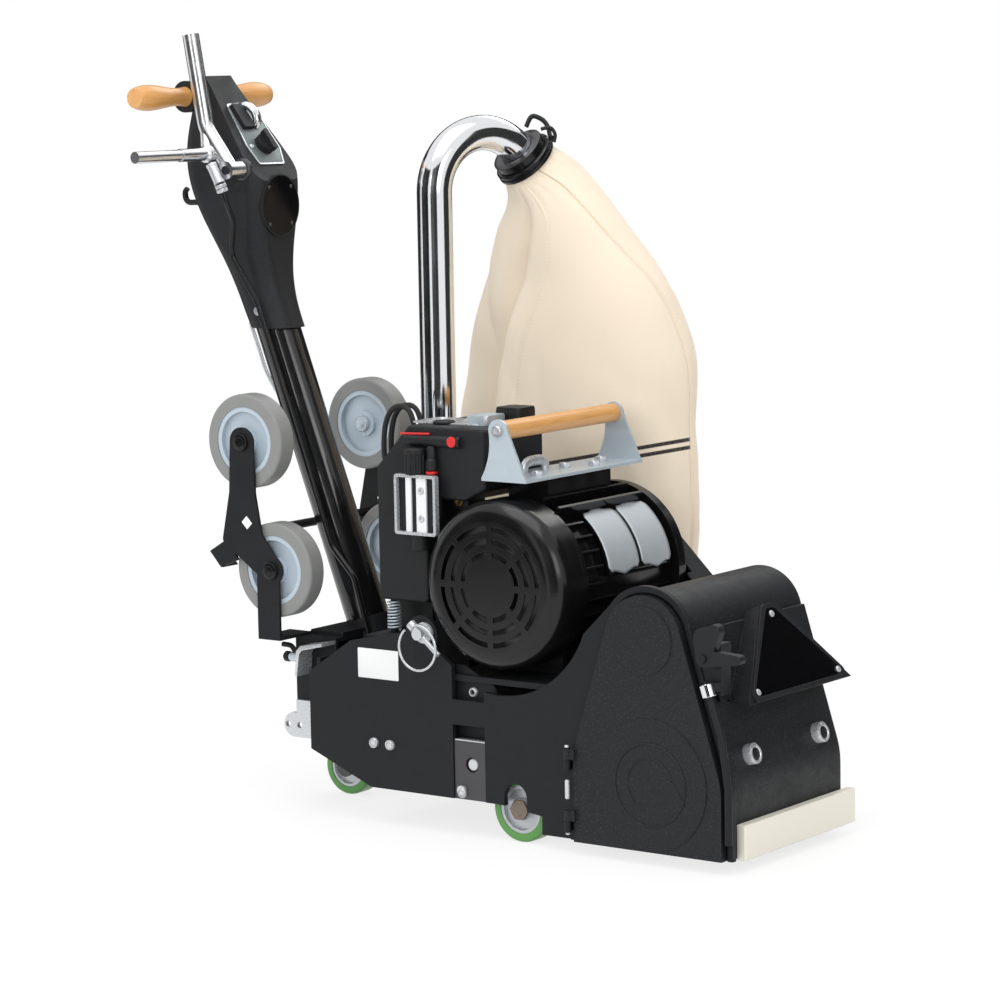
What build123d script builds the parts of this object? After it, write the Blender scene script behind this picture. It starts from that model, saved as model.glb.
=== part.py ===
from build123d import *
from math import acos, atan2, cos, exp, hypot, pi, radians, sin, sqrt, tan
import os

# Walk-behind floor belt sander, in millimetres: +X forwards, +Y to the machine's left, +Z up.
# The origin is the point of the floor below the sanding drum's axis, on the chassis mid-plane.

# Fits
RUNNING = 0.05
SEAT = 0.1
BELT_GAP = 0.4

# Chassis side panels
CHASSIS_HALF = 145.0
PANEL_T = 8.0
PANEL_REAR_X = -558.0
PANEL_REAR_LOW_Z = 92.0
PANEL_REAR_HIGH_Z = 198.0
SHOULDER_X = -486.0
SHOULDER_Z = 246.0
PANEL_TOP_X = -411.0
PANEL_TOP_Z = 261.0
EAR_X = -366.0
EAR_Z = 263.0
EAR_R = 26.0
STEP_X = -317.0
STEP_Z = 226.0
NOTCH_X = -265.0
NOTCH_Z = 182.0
BELLY_REAR_X = -455.0
BELLY_FRONT_X = -240.0
BELLY_Z = 50.0
NOSE_X = -175.0
NOSE_TOP_Z = 42.0
NOSE_Z = 18.0
WINDOW_TOP_Z = 149.0
ARCH_NOTCH_X = -217.0
ARCH_NOTCH_Z = 62.0
ARCH_NOTCH_R = 18.0
SADDLE_X = -240.0
SADDLE_Z = 338.0
SADDLE_R = 144.0
SADDLE_END_ANGLE = -21.0
SADDLE_LOW_ANGLE = 45.0
RIM_JOIN_ANGLE = 145.0
SEAT_BLOCK = 40.0
SEAT_BLOCK_T = 7.0

# Belt housing and its door
DRUM_Z = 100.0
ROLLER_X = -9.0
ROLLER_Z = 287.0
ARCH_R = 57.0
DOOR_REAR_X = -119.0
DOOR_FRONT_X = 105.0
DOOR_BOTTOM_Z = 17.0
DOOR_KNEE_REAR_Z = 130.0
DOOR_KNEE_FRONT_Z = 112.0
DOOR_KNEE_R = 110.0
DOOR_PROUD = 9.0
DOOR_T = 14.0
DOOR_SKIN = 4.0
DOOR_GAP = 3.0
DOOR_EMBOSS = 1.5
UPPER_BOSS_R = 43.0
LOWER_BOSS_R = 84.0
HOUSING_GROW = 3.0
HOUSING_WALL = 5.0
HOUSING_FAR_INSET = 8.0
HOUSING_END_R = 10.0
FAR_LOBE_SHRINK = 16.0
RIM_GROW = 11.0
HINGE_X = -125.5
HINGE_PROUD = 3.5
HINGE_LEAF = 1.0
HINGE_PIN_R = 2.5
KNUCKLE_R = 4.5
KNUCKLE_L = 14.0
KNUCKLE_GAP = 0.4
HINGE_ZS = (30.0, 110.0)

# Sanding drum, roller and abrasive belt
DRUM_R = 83.0
DRUM_NEAR_GAP = 14.5
DRUM_FAR_GAP = 11.5
DRUM_WALL = 10.0
DRUM_WEB = 12.0
DRUM_SHAFT_R = 15.0
ROLLER_R = 31.0
ROLLER_SHAFT_R = 10.0
ABRASIVE_T = 1.0
BEARING_WALL = 9.0
BEARING_L = 14.0

# Front of the housing
BUMPER_T = 13.0
BUMPER_LOW_Z = 15.0
BUMPER_H = 45.0
BUMPER_INSET = 21.0
BUMPER_EDGE = 1.0
HOOD_INSET = 29.0
HOOD_FAR_INSET = 8.0
HOOD_BAND_LOW_Z = 212.0
HOOD_BAND_HIGH_Z = 300.0
HOOD_BAND_T = 5.0
HOOD_TOP = (70.0, 318.0)
HOOD_FOOT = (122.0, 210.0)
HOOD_TOP_HALF = 16.0
HOOD_SIDE = 2.5
HOOD_DEPTH = 90.0
KNOB_NEAR_INSET = 65.0
KNOB_FAR_INSET = 53.0
KNOB_LEAN_ANGLE = 15.6
KNOB_Z = 140.0
KNOB_R = 12.0
KNOB_H = 9.0

# Door latch
LATCH_X = 84.0
LATCH_Z = 273.0
LATCH_PIN_R = 5.0
LATCH_EYE_R = 10.0
LATCH_T = 13.0
LATCH_ARM = 49.0
LATCH_ARM_ANGLE = 2.0
LATCH_ARM_R = 11.0
LATCH_TIP_R = 6.0
LATCH_HEEL = 26.0
LATCH_HEEL_R = 12.0
LATCH_HEEL_ANGLE = 95.0
LATCH_CREST = 38.0
LATCH_CREST_R = 9.0
LATCH_CREST_ANGLE = 66.0
LATCH_GAP = 1.0
LATCH_PIN_PROUD = 3.0
LATCH_ROD_R = 5.0
LATCH_ROD_PROUD = 6.5
LATCH_ROD_BEND = 60.0
LATCH_ROD = ((86.0, 232.0), (105.0, 175.0), (114.5, 110.0), (114.5, 40.0))
LATCH_COLLAR_R = 9.0
LATCH_COLLAR_L = 16.0
LATCH_BLOCK_X = 100.0
LATCH_BLOCK_LOW_Z = 225.0
LATCH_BLOCK_HIGH_Z = 290.0
LATCH_BLOCK_BACK = 2.0
LATCH_BLOCK_DEPTH = 23.0

# Motor
MOTOR_X = -249.0
MOTOR_Z = 336.0
FAN_COVER_R = 112.0
FAN_COVER_PROUD = 5.0
FAN_COVER_L = 55.0
FAN_COVER_T = 2.5
FAN_COVER_EDGE = 26.0
FAN_SLOT_RINGS = (76.0, 59.5, 43.0)
FAN_SLOT_W = 7.0
FAN_SPOKES = 8
FAN_SPOKE_W = 9.0
MOTOR_R = 92.0
MOTOR_BORE_R = 74.0
MOTOR_FLANGE_L = 8.0
MOTOR_FAR_GAP = 4.0
FIN_R = 103.0
FIN_T = 3.0
FIN_ROOT = 4.0
FIN_COUNT = 23
FIN_START_ANGLE = 84.0
FIN_END_ANGLE = 348.0
FIN_INSET = 6.0
SHORT_FIN_L = 46.0
SHORT_FIN_COUNT = 5
SHORT_FIN_START_ANGLE = 0.0
SHORT_FIN_END_ANGLE = 48.0
TOP_FIN_ANGLES = (70.0, 58.0)
TOP_FIN_R = 118.0
TOP_FIN_T = 4.0
TOP_FIN_FAR_GAP = 20.0
BELL_R = 109.0
BELL_L = 20.0
BELL_EDGE = 6.0
BELL_CAP_R = 80.0
BELL_CAP_L = 4.0
PAD_REAR_X = -280.0
PAD_FRONT_X = -215.0
PAD_NEAR_Y = -62.0
PAD_FAR_GAP = 50.0
PAD_ROOT = 5.0
PAD_TOP_Z = 470.0
ROTOR_SHAFT_R = 14.0
ROTOR_CORE_R = 60.0
ROTOR_CORE_INSET = 30.0
FAN_R = 86.0
FAN_DISC_T = 5.0
FAN_BLADE_L = 14.0
FAN_BLADE_T = 3.0
FAN_BLADES = 8
FAN_GAP = 12.0
CRADLE_REAR_X = -335.0
CRADLE_FRONT_X = -145.0
CRADLE_Z = 206.0
CRADLE_T = 8.0
CRADLE_WALL_Y = 58.0
CRADLE_WALL_T = 10.0
CRADLE_HALF = 52.0
CRADLE_TOP_Z = 268.0
FOOT_Y = -131.0
FOOT_T = 6.0
FOOT_OUTLINE = ((-332.0, 179.0), (-326.0, 226.0), (-306.0, 226.0), (-257.0, 202.0), (-250.0, 179.0))
FOOT_EDGE = 8.0

# Belt drive on the far side
PULLEY_DRUM_R = 34.0
PULLEY_MOTOR_R = 40.0
PULLEY_FAN_R = 18.0
PULLEY_LIP = 8.0
PULLEY_LIP_T = 2.0
DRIVE_BELT_W = 11.0
DRIVE_BELT_T = 6.5
DRIVE_LANE = 16.0
DRIVE_GAP = 15.0
GUARD_ROOM = 22.0
GUARD_T = 3.0
GUARD_CLEAR = 5.0
GUARD_BELL_ROOM = 3.0
SHAFT_GUARD_GAP = 3.0
SHAFT_CLEAR = 2.0

# Suction fan, pipe and bag
BLOWER_X = -425.0
BLOWER_Z = 240.0
BLOWER_R = 85.0
BLOWER_T = 4.0
BLOWER_NEAR_Y = 25.0
BLOWER_FAR_Y = 85.0
BLOWER_INLET_R = 30.0
DUCT_NEAR_Y = -15.0
DUCT_LOW_Z = 128.0
DUCT_HIGH_Z = 176.0
DUCT_REAR_X = -465.0
DUCT_RISE_X = -385.0
DUCT_RISE_Z = 285.0
DUCT_T = 3.0
IMPELLER_R = 74.0
IMPELLER_DISC_T = 4.0
IMPELLER_BLADE_L = 30.0
IMPELLER_BLADE_T = 3.0
IMPELLER_BLADES = 10
IMPELLER_SHAFT_R = 8.0
PIPE_X = -482.0
PIPE_Y = 55.0
PIPE_R = 24.0
PIPE_T = 1.6
PIPE_LOW_Z = 313.0
PIPE_BEND_Z = 833.0
PIPE_BEND_R = 80.0
PIPE_BEND_ANGLE = 135.6
PIPE_HEADING_ANGLE = 71.0
PIPE_TAIL = 8.0
NECK_T = 5.0
NECK_TOP_Z = 348.0
COLLAR_R = 39.0
COLLAR_DISC_T = 6.0
COLLAR_RING_T = 4.0
COLLAR_L = 26.0
BAG_GAP = 0.6
BAG_NECK_R = 41.0
# Each level of the bag: height, centre X, centre Y, half width along X, half width along Y, depth of folds
BAG_LEVELS = (
    (770.0, -406.0, 254.0, 108.0, 70.0, 0.5),
    (690.0, -401.0, 275.0, 157.0, 80.0, 0.8),
    (590.0, -408.0, 290.0, 189.0, 87.0, 1.0),
    (500.0, -417.0, 295.0, 197.0, 90.0, 1.0),
    (340.0, -417.0, 295.0, 197.0, 90.0, 1.0),
    (235.0, -415.0, 295.0, 170.0, 74.0, 0.8),
)
BAG_SHOULDER = (835.0, -414.0, 226.0, 66.0, 52.0, 0.2)
# Each fold of the bag: angle round it, depth, half its width as an angle
BAG_FOLDS = (
    (128.0, 11.0, 13.0),
    (96.0, 7.0, 10.0),
    (-20.0, 8.0, 11.0),
    (-72.0, 9.0, 15.0),
    (-128.0, 9.0, 15.0),
)
BAG_POINTS = 60
BAG_TILT_ANGLE = 28.0

# Electrical box
BOX_NEAR_Y = -115.0
BOX_FAR_Y = 15.0
BOX_REAR_X = -459.0
BOX_FRONT_X = -376.0
BOX_LOW_Z = 300.0
BOX_BEND_Z = 478.0
BOX_TOP_REAR_X = -404.0
BOX_TOP_Z = 536.0
BOX_UNDER_Z = 455.0
BOX_BELLY_X = -312.0
BOX_BELLY_Z = 440.0
SKIRT_REAR_X = -456.0
SKIRT_FRONT_X = -400.0
SKIRT_Y = -75.0
SKIRT_T = 6.0
SKIRT_LOW_Z = 234.0
BOX_EDGE = 7.0
BOX_FACE_EDGE = 5.0
BAR_R = 8.0
BAR_Z = 517.0
BAR_REAR_X = -408.0
BAR_FRONT_X = -316.0
CAN_X = -386.0
CAN_R = 13.0
CAN_LOW_Z = 372.0
CAN_TOP_Z = 498.0
CABLE_R = 3.6
CABLE_BEND = 12.8
CABLE_LEAN = 6.0
CABLE_Y = -62.0
CABLE_SPACING = 16.0
CABLE_REACH = 24.0
CABLE_TOP_Z = 552.0
CABLE_END_BACK = 24.0
SPRING_X = -445.0
SPRING_Y = -100.0
SPRING_R = 8.5
SPRING_WIRE_R = 1.4
SPRING_TURNS = 9
SPRING_LOW_Z = 257.0
SPRING_HIGH_Z = 298.0
SPRING_ROD_R = 5.0
SPRING_GAP = 0.6
SPRING_SAMPLES = 40

# Carry handle over the motor
CARRY_NEAR_Y = -122.0
CARRY_FAR_Y = 146.0
CARRY_REAR_X = -279.5
CARRY_FRONT_X = -208.0
CARRY_T = 4.0
CARRY_GRIP_X = -252.0
CARRY_GRIP_Z = 536.0
CARRY_EYE_R = 15.0
CARRY_WAIST = 6.0
CARRY_GRIP_R = 12.5
CARRY_GRIP_EDGE = 2.0
CARRY_BOLT_R = 6.0
CARRY_BOLT_H = 5.0

# Rear frame, hitch plate and handle tube
REAR_FRAME_X = -622.0
REAR_FRAME_HALF = 95.0
REAR_FRAME_LOW_Z = 130.0
DECK_Z = 236.0
REAR_FRAME_T = 6.0
DECK_COVER_INSET = 15.0
DECK_COVER_T = 6.0
REAR_WALL_X = -551.0
REAR_WALL_LOW_Z = 96.0
REAR_WALL_DROP = 30.0
HITCH_BACK = 2.0
HITCH_DROP = 19.0
HITCH_R = 17.0
HITCH_T = 6.0
HITCH_HOLE_R = 4.5
HITCH_SPACING = 20.0
HITCH_L = 39.0
HITCH_LAP = 16.0
TUBE_R = 30.0
TUBE_T = 3.0
TUBE_INSET = 57.0
TUBE_LEAN_ANGLE = 20.4
TUBE_SUNK = 95.0
TUBE_TOP = 560.0
SOCKET_R = 37.0
SOCKET_RISE = 14.0
BASE_FRONT_X = -272.0
BASE_REAR_X = -462.0
BASE_Z = 56.0
BASE_T = 6.0
WINDOW_BACK_REAR_X = -332.0
WINDOW_BACK_FRONT_X = -266.0
WINDOW_BACK_Y = -128.0
WINDOW_BACK_T = 4.0
WINDOW_BACK_TOP_Z = 170.0

# Handle head, measured from its foot on the tube's axis: rise, reach back, reach forward, half width, corner
HEAD_UP = 439.6
HEAD_LEVELS = (
    (0.0, 35.5, 35.5, 34.5, 30.0),
    (72.0, 65.0, 13.0, 38.5, 28.0),
    (117.0, 85.0, 9.0, 44.0, 24.0),
    (182.0, 115.0, 11.0, 51.0, 22.0),
    (252.0, 129.0, 5.0, 46.0, 20.0),
    (352.0, 124.0, -22.0, 28.0, 14.0),
)
# Points of the head and its lever: back from the head's foot, rise above it
HEAD_SLOPE_AT = (-3.0, 214.0)
HEAD_SLOPE_ANGLE = 53.0
HEAD_CREST_AT = (96.0, 350.0)
HEAD_CREST_ANGLE = -38.0
GRIP_AT = (129.0, 320.0)
GRIP_HALF = 140.0
GRIP_SHOULDER_R = 14.0
GRIP_NECK_R = 12.5
GRIP_NECK_AT = 20.5
GRIP_BULGE_R = 17.5
GRIP_BULGE_AT = 67.0
GRIP_END_R = 13.5
GRIP_BOSS_R = 22.0
GRIP_BOSS_HALF = 36.0
GRIP_SHANK_R = 11.0
SWITCH_UP = 45.0
SWITCH_Y = 5.0
SWITCH_R = 15.0
SWITCH_H = 9.0
SWITCH_LIFT = 2.5
SWITCH_SHAFT_R = 3.0
SWITCH_SHAFT_L = 12.0
SWITCH_ROOM = 1.0
POINTER_L = 34.0
POINTER_W = 9.0
POINTER_H = 8.0
POINTER_CORNER = 3.6
ROCKER_UP = 94.0
ROCKER_Y = -6.0
ROCKER_W = 22.0
ROCKER_L = 40.0
ROCKER_STAND = 8.0
ROCKER_SUNK = 9.0
ROCKER_ROOM = 5.0
ROCKER_GAP = 0.4

# Lift lever, rod and wheel crank
LEVER_AT = (16.0, 220.0)
LEVER_Y = -72.0
LEVER_R = 11.5
LEVER_BEND_AT = (60.0, 277.0)
LEVER_TOP_AT = (83.0, 405.0)
LEVER_BEND_R = 40.0
LEVER_PIN_R = 6.0
LEVER_PIN_PROUD = 2.0
LEVER_HUB_R = 12.5
LEVER_HUB_IN = -54.0
LEVER_HUB_OUT = -84.0
LEVER_KNUCKLE_AT = (48.0, 242.0)
LEVER_KNUCKLE_Y = -84.0
LEVER_KNUCKLE_R = 13.0
LEVER_KNUCKLE_FLAT_ANGLE = 80.0
LEVER_BAR_R = 8.0
LEVER_BAR_END = -232.0
LEVER_LINK_R = 9.0
LEVER_SLEEVE_L = 58.0
ROD_R = 4.0
ROD_BEND = 24.0
ROD_SLEEVE_R = 7.0
ROD_SLEEVE_Y = -92.5
ROD_SLEEVE_TOP_AT = (34.5, 228.0)
ROD_SLEEVE_END_AT = (20.0, 202.0)
ROD_NUT_R = 6.0
ROD_NUT_L = 9.0
# The rod beside the head: back, Y, rise; then down to the crank: X, Y, Z
ROD_BESIDE_HEAD = (
    (14.0, -86.0, 174.0),
    (17.0, -70.0, 150.0),
    (31.0, -60.0, 103.0),
    (-6.0, -50.0, 36.0),
)
ROD_BELOW = (
    (-595.0, -45.0, 353.0),
    (-557.0, -45.0, 313.0),
    (-534.0, -45.0, 234.0),
    (-480.0, -45.0, 172.0),
    (-330.0, -45.0, 138.0),
)
CRANK_X = -288.0
CRANK_Z = 97.0
CRANK_SHAFT_R = 8.0
CRANK_TUBE_R = 13.0
CRANK_END_GAP = 1.0
CRANK_ARM_GAP = 8.0
CRANK_ARM_T = 8.0
CRANK_ARM_R = 15.0
CRANK_TAIL_Y = -45.0
CRANK_TAIL_X = -318.0
CRANK_TAIL_Z = 120.0
CRANK_TAIL_R = 9.0
BRACKET_GAP = 21.0
BRACKET_T = 8.0
BRACKET_HALF = 17.0

# Running wheels
FRONT_WHEEL_X = -219.0
FRONT_WHEEL_R = 43.5
FRONT_TYRE_EDGE = 5.0
FRONT_HUB_R = 32.0
FRONT_HUB_LIP = 4.5
FRONT_HUB_DISH = 5.0
FRONT_BOSS_R = 14.0
FRONT_WHEEL_GAP = 5.0
FRONT_WHEEL_W = 30.0
FRONT_AXLE_R = 8.0
FRONT_AXLE_PROUD = 2.0
HUB_INSET = 1.0
CASTER_INSET = 37.0
CASTER_TRAIL = 16.0
CASTER_R = 39.0
CASTER_TYRE_EDGE = 5.0
CASTER_HUB_R = 28.0
CASTER_HUB_LIP = 4.0
CASTER_HUB_DISH = 5.0
CASTER_BOSS_R = 11.0
CASTER_W = 30.0
CASTER_AXLE_R = 5.0
FORK_PLATE_R = 30.0
FORK_T = 5.0
FORK_GAP = 2.0
FORK_STEM_R = 8.0
FORK_STEM_L = 14.0
FORK_STEM_ROOM = 4.0
FORK_CLEAR = 0.4
FORK_LEG_R = 13.0

# Transport carriage
CARRIAGE_UPPER_BACK = 41.0
CARRIAGE_UPPER_RISE = 268.0
CARRIAGE_LOWER_FORE = 6.0
CARRIAGE_LOWER_RISE = 95.0
CARRIAGE_WHEEL_R = 64.5
CARRIAGE_TYRE_EDGE = 4.0
CARRIAGE_HUB_R = 47.0
CARRIAGE_HUB_LIP = 6.5
CARRIAGE_HUB_DISH = 7.0
CARRIAGE_BOSS_R = 18.0
CARRIAGE_WHEEL_W = 30.0
CARRIAGE_NEAR = 114.5
CARRIAGE_AXLE_R = 8.0
CARRIAGE_HEAD_R = 12.0
CARRIAGE_CLIP_R = 11.0
CARRIAGE_CLIP_GAP = 1.0
CARRIAGE_CLIP_T = 4.0
ARM_T = 4.0
ARM_Y = 147.0
ARM_TOP_R = 20.0
ARM_LOW_R = 19.0
ARM_WAIST_BACK = 42.0
ARM_WAIST_RISE = 196.0
ARM_WAIST_R = 22.5
ARM_HEEL_BACK = 70.0
ARM_HEEL_RISE = 134.0
ARM_HEEL_R = 8.0
ARM_ELBOW_FORE = 38.0
STRAP_BACK = 19.0
STRAP_FORE = 19.0
STRAP_LAP = 11.0
# Corners of the lug under the heel: back from the rear frame, rise above the deck
LUG_TIP = (102.0, 115.0)
LUG_FOOT = (83.0, 94.0)
LUG_ROOT = (52.0, 106.0)
LUG_DEPTH = 28.0
ARM_HOLE_R = 11.0
ARM_HOLE_BACK = 36.0
ARM_HOLE_RISE = 158.0
CROSS_BACK = 55.0
CROSS_RISE = 139.0
CROSS_R = 6.0

# Locking pin at the panel's ear
STUD_R = 8.0
STUD_FORE = 6.0
STUD_RISE = 4.0
STUD_OUT = 18.0
STUD_FLANGE_R = 14.0
STUD_FLANGE_T = 4.0
LOCK_Y = 11.5
LOCK_PIN_R = 3.5
LOCK_PIN_ANGLE = -40.5
LOCK_PIN_BACK = 10.0
LOCK_PIN_FORE = 40.0
LOCK_HEAD_R = 6.5
LOCK_HEAD_L = 9.0
LOCK_RING_R = 30.0
LOCK_RING_WIRE = 1.7
LOCK_RING_STEP = 8.0
LOCK_RING_SWEEP_ANGLE = 326.0
LOCK_RING_TURN_ANGLE = -64.0

# Latch plate in the side window
LATCH_PLATE_T = 4.0
LATCH_PLATE_TOP_Z = 126.0
LATCH_PLATE_GAP = 0.5
LATCH_LIP = 10.0
LATCH_HOLE_R = 10.0
LATCH_CLIP_RISE = 20.0

# Round-headed bolts on the near side
BOLT_R = 6.5
BOLT_H = 4.0
PANEL_BOLT_REAR_X = -448.0
PANEL_BOLT_FRONT_X = -421.0
PANEL_BOLT_Z = 111.0
LATCH_BOLT_IN = 13.0
LATCH_BOLT_RISE = 12.0

# Worked out from the sizes above
PANEL_IN = CHASSIS_HALF - PANEL_T
DOOR_FACE = CHASSIS_HALF + DOOR_PROUD
HINGE_Y = -DOOR_FACE - HINGE_PROUD
DRUM_NEAR_Y = -PANEL_IN + DRUM_NEAR_GAP
HOUSING_FAR_Y = CHASSIS_HALF - HOUSING_FAR_INSET
DRUM_FAR_Y = HOUSING_FAR_Y - HOUSING_WALL - DRUM_FAR_GAP
BUMPER_NEAR = CHASSIS_HALF - BUMPER_INSET
HOOD_NEAR = CHASSIS_HALF - HOOD_INSET
HOOD_MID_Y = (HOUSING_FAR_Y - HOOD_NEAR) / 2
HOOD_FOOT_HALF = (HOUSING_FAR_Y + HOOD_NEAR) / 2 - HOOD_SIDE
LATCH_ROD_Y = -CHASSIS_HALF - LATCH_ROD_PROUD
LATCH_BLOCK_OUT = CHASSIS_HALF - LATCH_BLOCK_BACK
LATCH_BLOCK_IN = LATCH_BLOCK_OUT - LATCH_BLOCK_DEPTH
FAN_COVER_Y = -CHASSIS_HALF - FAN_COVER_PROUD
STUD_X = EAR_X + STUD_FORE
STUD_Z = EAR_Z + STUD_RISE
LANE_ONE = CHASSIS_HALF + DRIVE_GAP
MOTOR_FAR_Y = LANE_ONE - PULLEY_LIP_T - MOTOR_FAR_GAP - BELL_CAP_L - BELL_L
PAD_FAR_Y = MOTOR_FAR_Y - PAD_FAR_GAP
LANE_TWO = LANE_ONE + DRIVE_LANE
GUARD_FACE = LANE_TWO + DRIVE_BELT_W + 2 * PULLEY_LIP_T + GUARD_CLEAR + GUARD_T
SHAFT_END_Y = GUARD_FACE - GUARD_T - SHAFT_GUARD_GAP
FRONT_WHEEL_NEAR = PANEL_IN - FRONT_WHEEL_GAP - FRONT_WHEEL_W
CRANK_ARM_Y = FRONT_WHEEL_NEAR - CRANK_ARM_GAP - CRANK_ARM_T / 2
BRACKET_Y = PANEL_IN - BRACKET_GAP
HITCH_X = REAR_FRAME_X - HITCH_BACK
HITCH_Z = REAR_FRAME_LOW_Z - HITCH_DROP
HITCH_FRONT_X = HITCH_X + HITCH_L
HITCH_TOP_Z = REAR_FRAME_LOW_Z + HITCH_LAP
CASTER_X = REAR_FRAME_X + CASTER_INSET
CARRIAGE_UPPER = (REAR_FRAME_X - CARRIAGE_UPPER_BACK, DECK_Z + CARRIAGE_UPPER_RISE)
CARRIAGE_LOWER = (REAR_FRAME_X + CARRIAGE_LOWER_FORE, DECK_Z + CARRIAGE_LOWER_RISE)
ARM_WAIST = (REAR_FRAME_X - ARM_WAIST_BACK, DECK_Z + ARM_WAIST_RISE)
ARM_HEEL = (REAR_FRAME_X - ARM_HEEL_BACK, DECK_Z + ARM_HEEL_RISE)
STRAP_REAR_X = REAR_FRAME_X - STRAP_BACK
STRAP_FRONT_X = REAR_FRAME_X + STRAP_FORE
STRAP_FOOT_IN = REAR_FRAME_HALF - STRAP_LAP
CROSS_X = REAR_FRAME_X - CROSS_BACK
CROSS_Z = DECK_Z + CROSS_RISE
ARM_ELBOW = (CROSS_X + ARM_ELBOW_FORE, CROSS_Z)
TUBE_AXIS = Vector(-sin(radians(TUBE_LEAN_ANGLE)), 0, cos(radians(TUBE_LEAN_ANGLE)))
TUBE_BASE = Vector(REAR_FRAME_X + TUBE_INSET, 0, DECK_Z)
HEAD_FOOT = TUBE_BASE + TUBE_AXIS * HEAD_UP


def at_head(back, rise):
    """X and Z of a point given back from the head's foot and above it."""
    return (HEAD_FOOT.X - back, HEAD_FOOT.Z + rise)


GRIP_X, GRIP_Z = at_head(*GRIP_AT)
LEVER_X, LEVER_Z = at_head(*LEVER_AT)
LEVER_BEND = at_head(*LEVER_BEND_AT)
LEVER_TOP = at_head(*LEVER_TOP_AT)
LEVER_KNUCKLE = at_head(*LEVER_KNUCKLE_AT)


def side(y):
    """The plane across the machine at this Y, with local X along +X and local Y along +Z."""
    return Plane.XZ.offset(-y)


def slab(y0, y1, mode=Mode.ADD):
    """Extrudes the last sketch, drawn on side(y0), as far as y1."""
    extrude(amount=y0 - y1, mode=mode)


def disc(x, z, y0, y1, radius, mode=Mode.ADD):
    """A round bar along Y."""
    with Locations(Location((x, (y0 + y1) / 2, z), (90, 0, 0))):
        Cylinder(radius, abs(y1 - y0), mode=mode)


def block(x0, x1, y0, y1, z0, z1, mode=Mode.ADD):
    """A box between two corners."""
    with Locations(((x0 + x1) / 2, (y0 + y1) / 2, (z0 + z1) / 2)):
        Box(abs(x1 - x0), abs(y1 - y0), abs(z1 - z0), mode=mode)


def bar(start, end, radius, mode=Mode.ADD):
    """A round bar between two points."""
    run = Vector(*end) - Vector(*start)
    with Locations(Plane(origin=start, z_dir=run)):
        Cylinder(radius, run.length, align=(Align.CENTER, Align.CENTER, Align.MIN), mode=mode)


def on_circle(x, z, radius, angle):
    """The point of a circle at an angle in degrees."""
    return (x + radius * cos(radians(angle)), z + radius * sin(radians(angle)))


def tangent_point(point, centre, radius, turn):
    """Where the line from a point touches a circle; turn says which of the two sides."""
    dx = point[0] - centre[0]
    dz = point[1] - centre[1]
    angle = atan2(dz, dx) + turn * acos(radius / hypot(dx, dz))
    return (centre[0] + radius * cos(angle), centre[1] + radius * sin(angle))


def door_outline(grow, mode=Mode.ADD):
    """The door's outline, grown outwards everywhere but at its foot."""
    radius = ARCH_R + grow
    centre = (ROLLER_X, ROLLER_Z)
    rear_knee = (DOOR_REAR_X - grow, DOOR_KNEE_REAR_Z)
    front_knee = (DOOR_FRONT_X + grow, DOOR_KNEE_FRONT_Z)
    rear_foot = (DOOR_REAR_X - grow, DOOR_BOTTOM_Z)
    front_foot = (DOOR_FRONT_X + grow, DOOR_BOTTOM_Z)
    rear_touch = tangent_point(rear_knee, centre, radius, -1)
    front_touch = tangent_point(front_knee, centre, radius, 1)
    with BuildLine() as outline:
        FilletPolyline(rear_touch, rear_knee, rear_foot, radius=DOOR_KNEE_R)
        Line(rear_foot, front_foot)
        FilletPolyline(front_foot, front_knee, front_touch, radius=DOOR_KNEE_R)
        ThreePointArc(front_touch, (ROLLER_X, ROLLER_Z + radius), rear_touch)
    make_face(outline.edges(), mode=mode)


def panel_outline():
    """The side panel's outline: rear box, ear, notch, saddle for the motor and the rise to the housing."""
    saddle_start_z = SADDLE_Z - sqrt(SADDLE_R**2 - (NOTCH_X - SADDLE_X) ** 2)
    saddle_end = on_circle(SADDLE_X, SADDLE_Z, SADDLE_R, SADDLE_END_ANGLE)
    saddle_low = on_circle(SADDLE_X, SADDLE_Z, SADDLE_R, SADDLE_END_ANGLE - SADDLE_LOW_ANGLE)
    rim_join = on_circle(ROLLER_X, ROLLER_Z, ARCH_R + RIM_GROW, RIM_JOIN_ANGLE)
    with BuildLine() as outline:
        ThreePointArc((NOTCH_X, saddle_start_z), saddle_low, saddle_end)
        Polyline(
            saddle_end,
            rim_join,
            (ROLLER_X, ROLLER_Z),
            (ROLLER_X, NOSE_Z),
            (NOSE_X, NOSE_Z),
            (NOSE_X, NOSE_TOP_Z),
            (BELLY_FRONT_X, BELLY_Z),
            (BELLY_REAR_X, BELLY_Z),
            (PANEL_REAR_X, PANEL_REAR_LOW_Z),
            (PANEL_REAR_X, PANEL_REAR_HIGH_Z),
            (SHOULDER_X, SHOULDER_Z),
            (PANEL_TOP_X, PANEL_TOP_Z),
            (EAR_X, EAR_Z),
            (STEP_X, STEP_Z),
            (STEP_X, NOTCH_Z),
            (NOTCH_X, NOTCH_Z),
            (NOTCH_X, saddle_start_z),
        )
    make_face(outline.edges())
    with Locations((EAR_X, EAR_Z)):
        Circle(EAR_R)
    with Locations((ARCH_NOTCH_X, ARCH_NOTCH_Z)):
        Circle(ARCH_NOTCH_R, mode=Mode.SUBTRACT)
    with Locations((ARCH_NOTCH_X, ARCH_NOTCH_Z / 2)):
        Rectangle(2 * ARCH_NOTCH_R, ARCH_NOTCH_Z, mode=Mode.SUBTRACT)


def round_hull(*circles):
    """The outline pulled tight round some circles, each given by X, Z and radius."""
    rims = []
    for x, z, radius in circles:
        with Locations((x, z)):
            rims += Circle(radius, mode=Mode.PRIVATE).edges()
    make_hull(rims)


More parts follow.
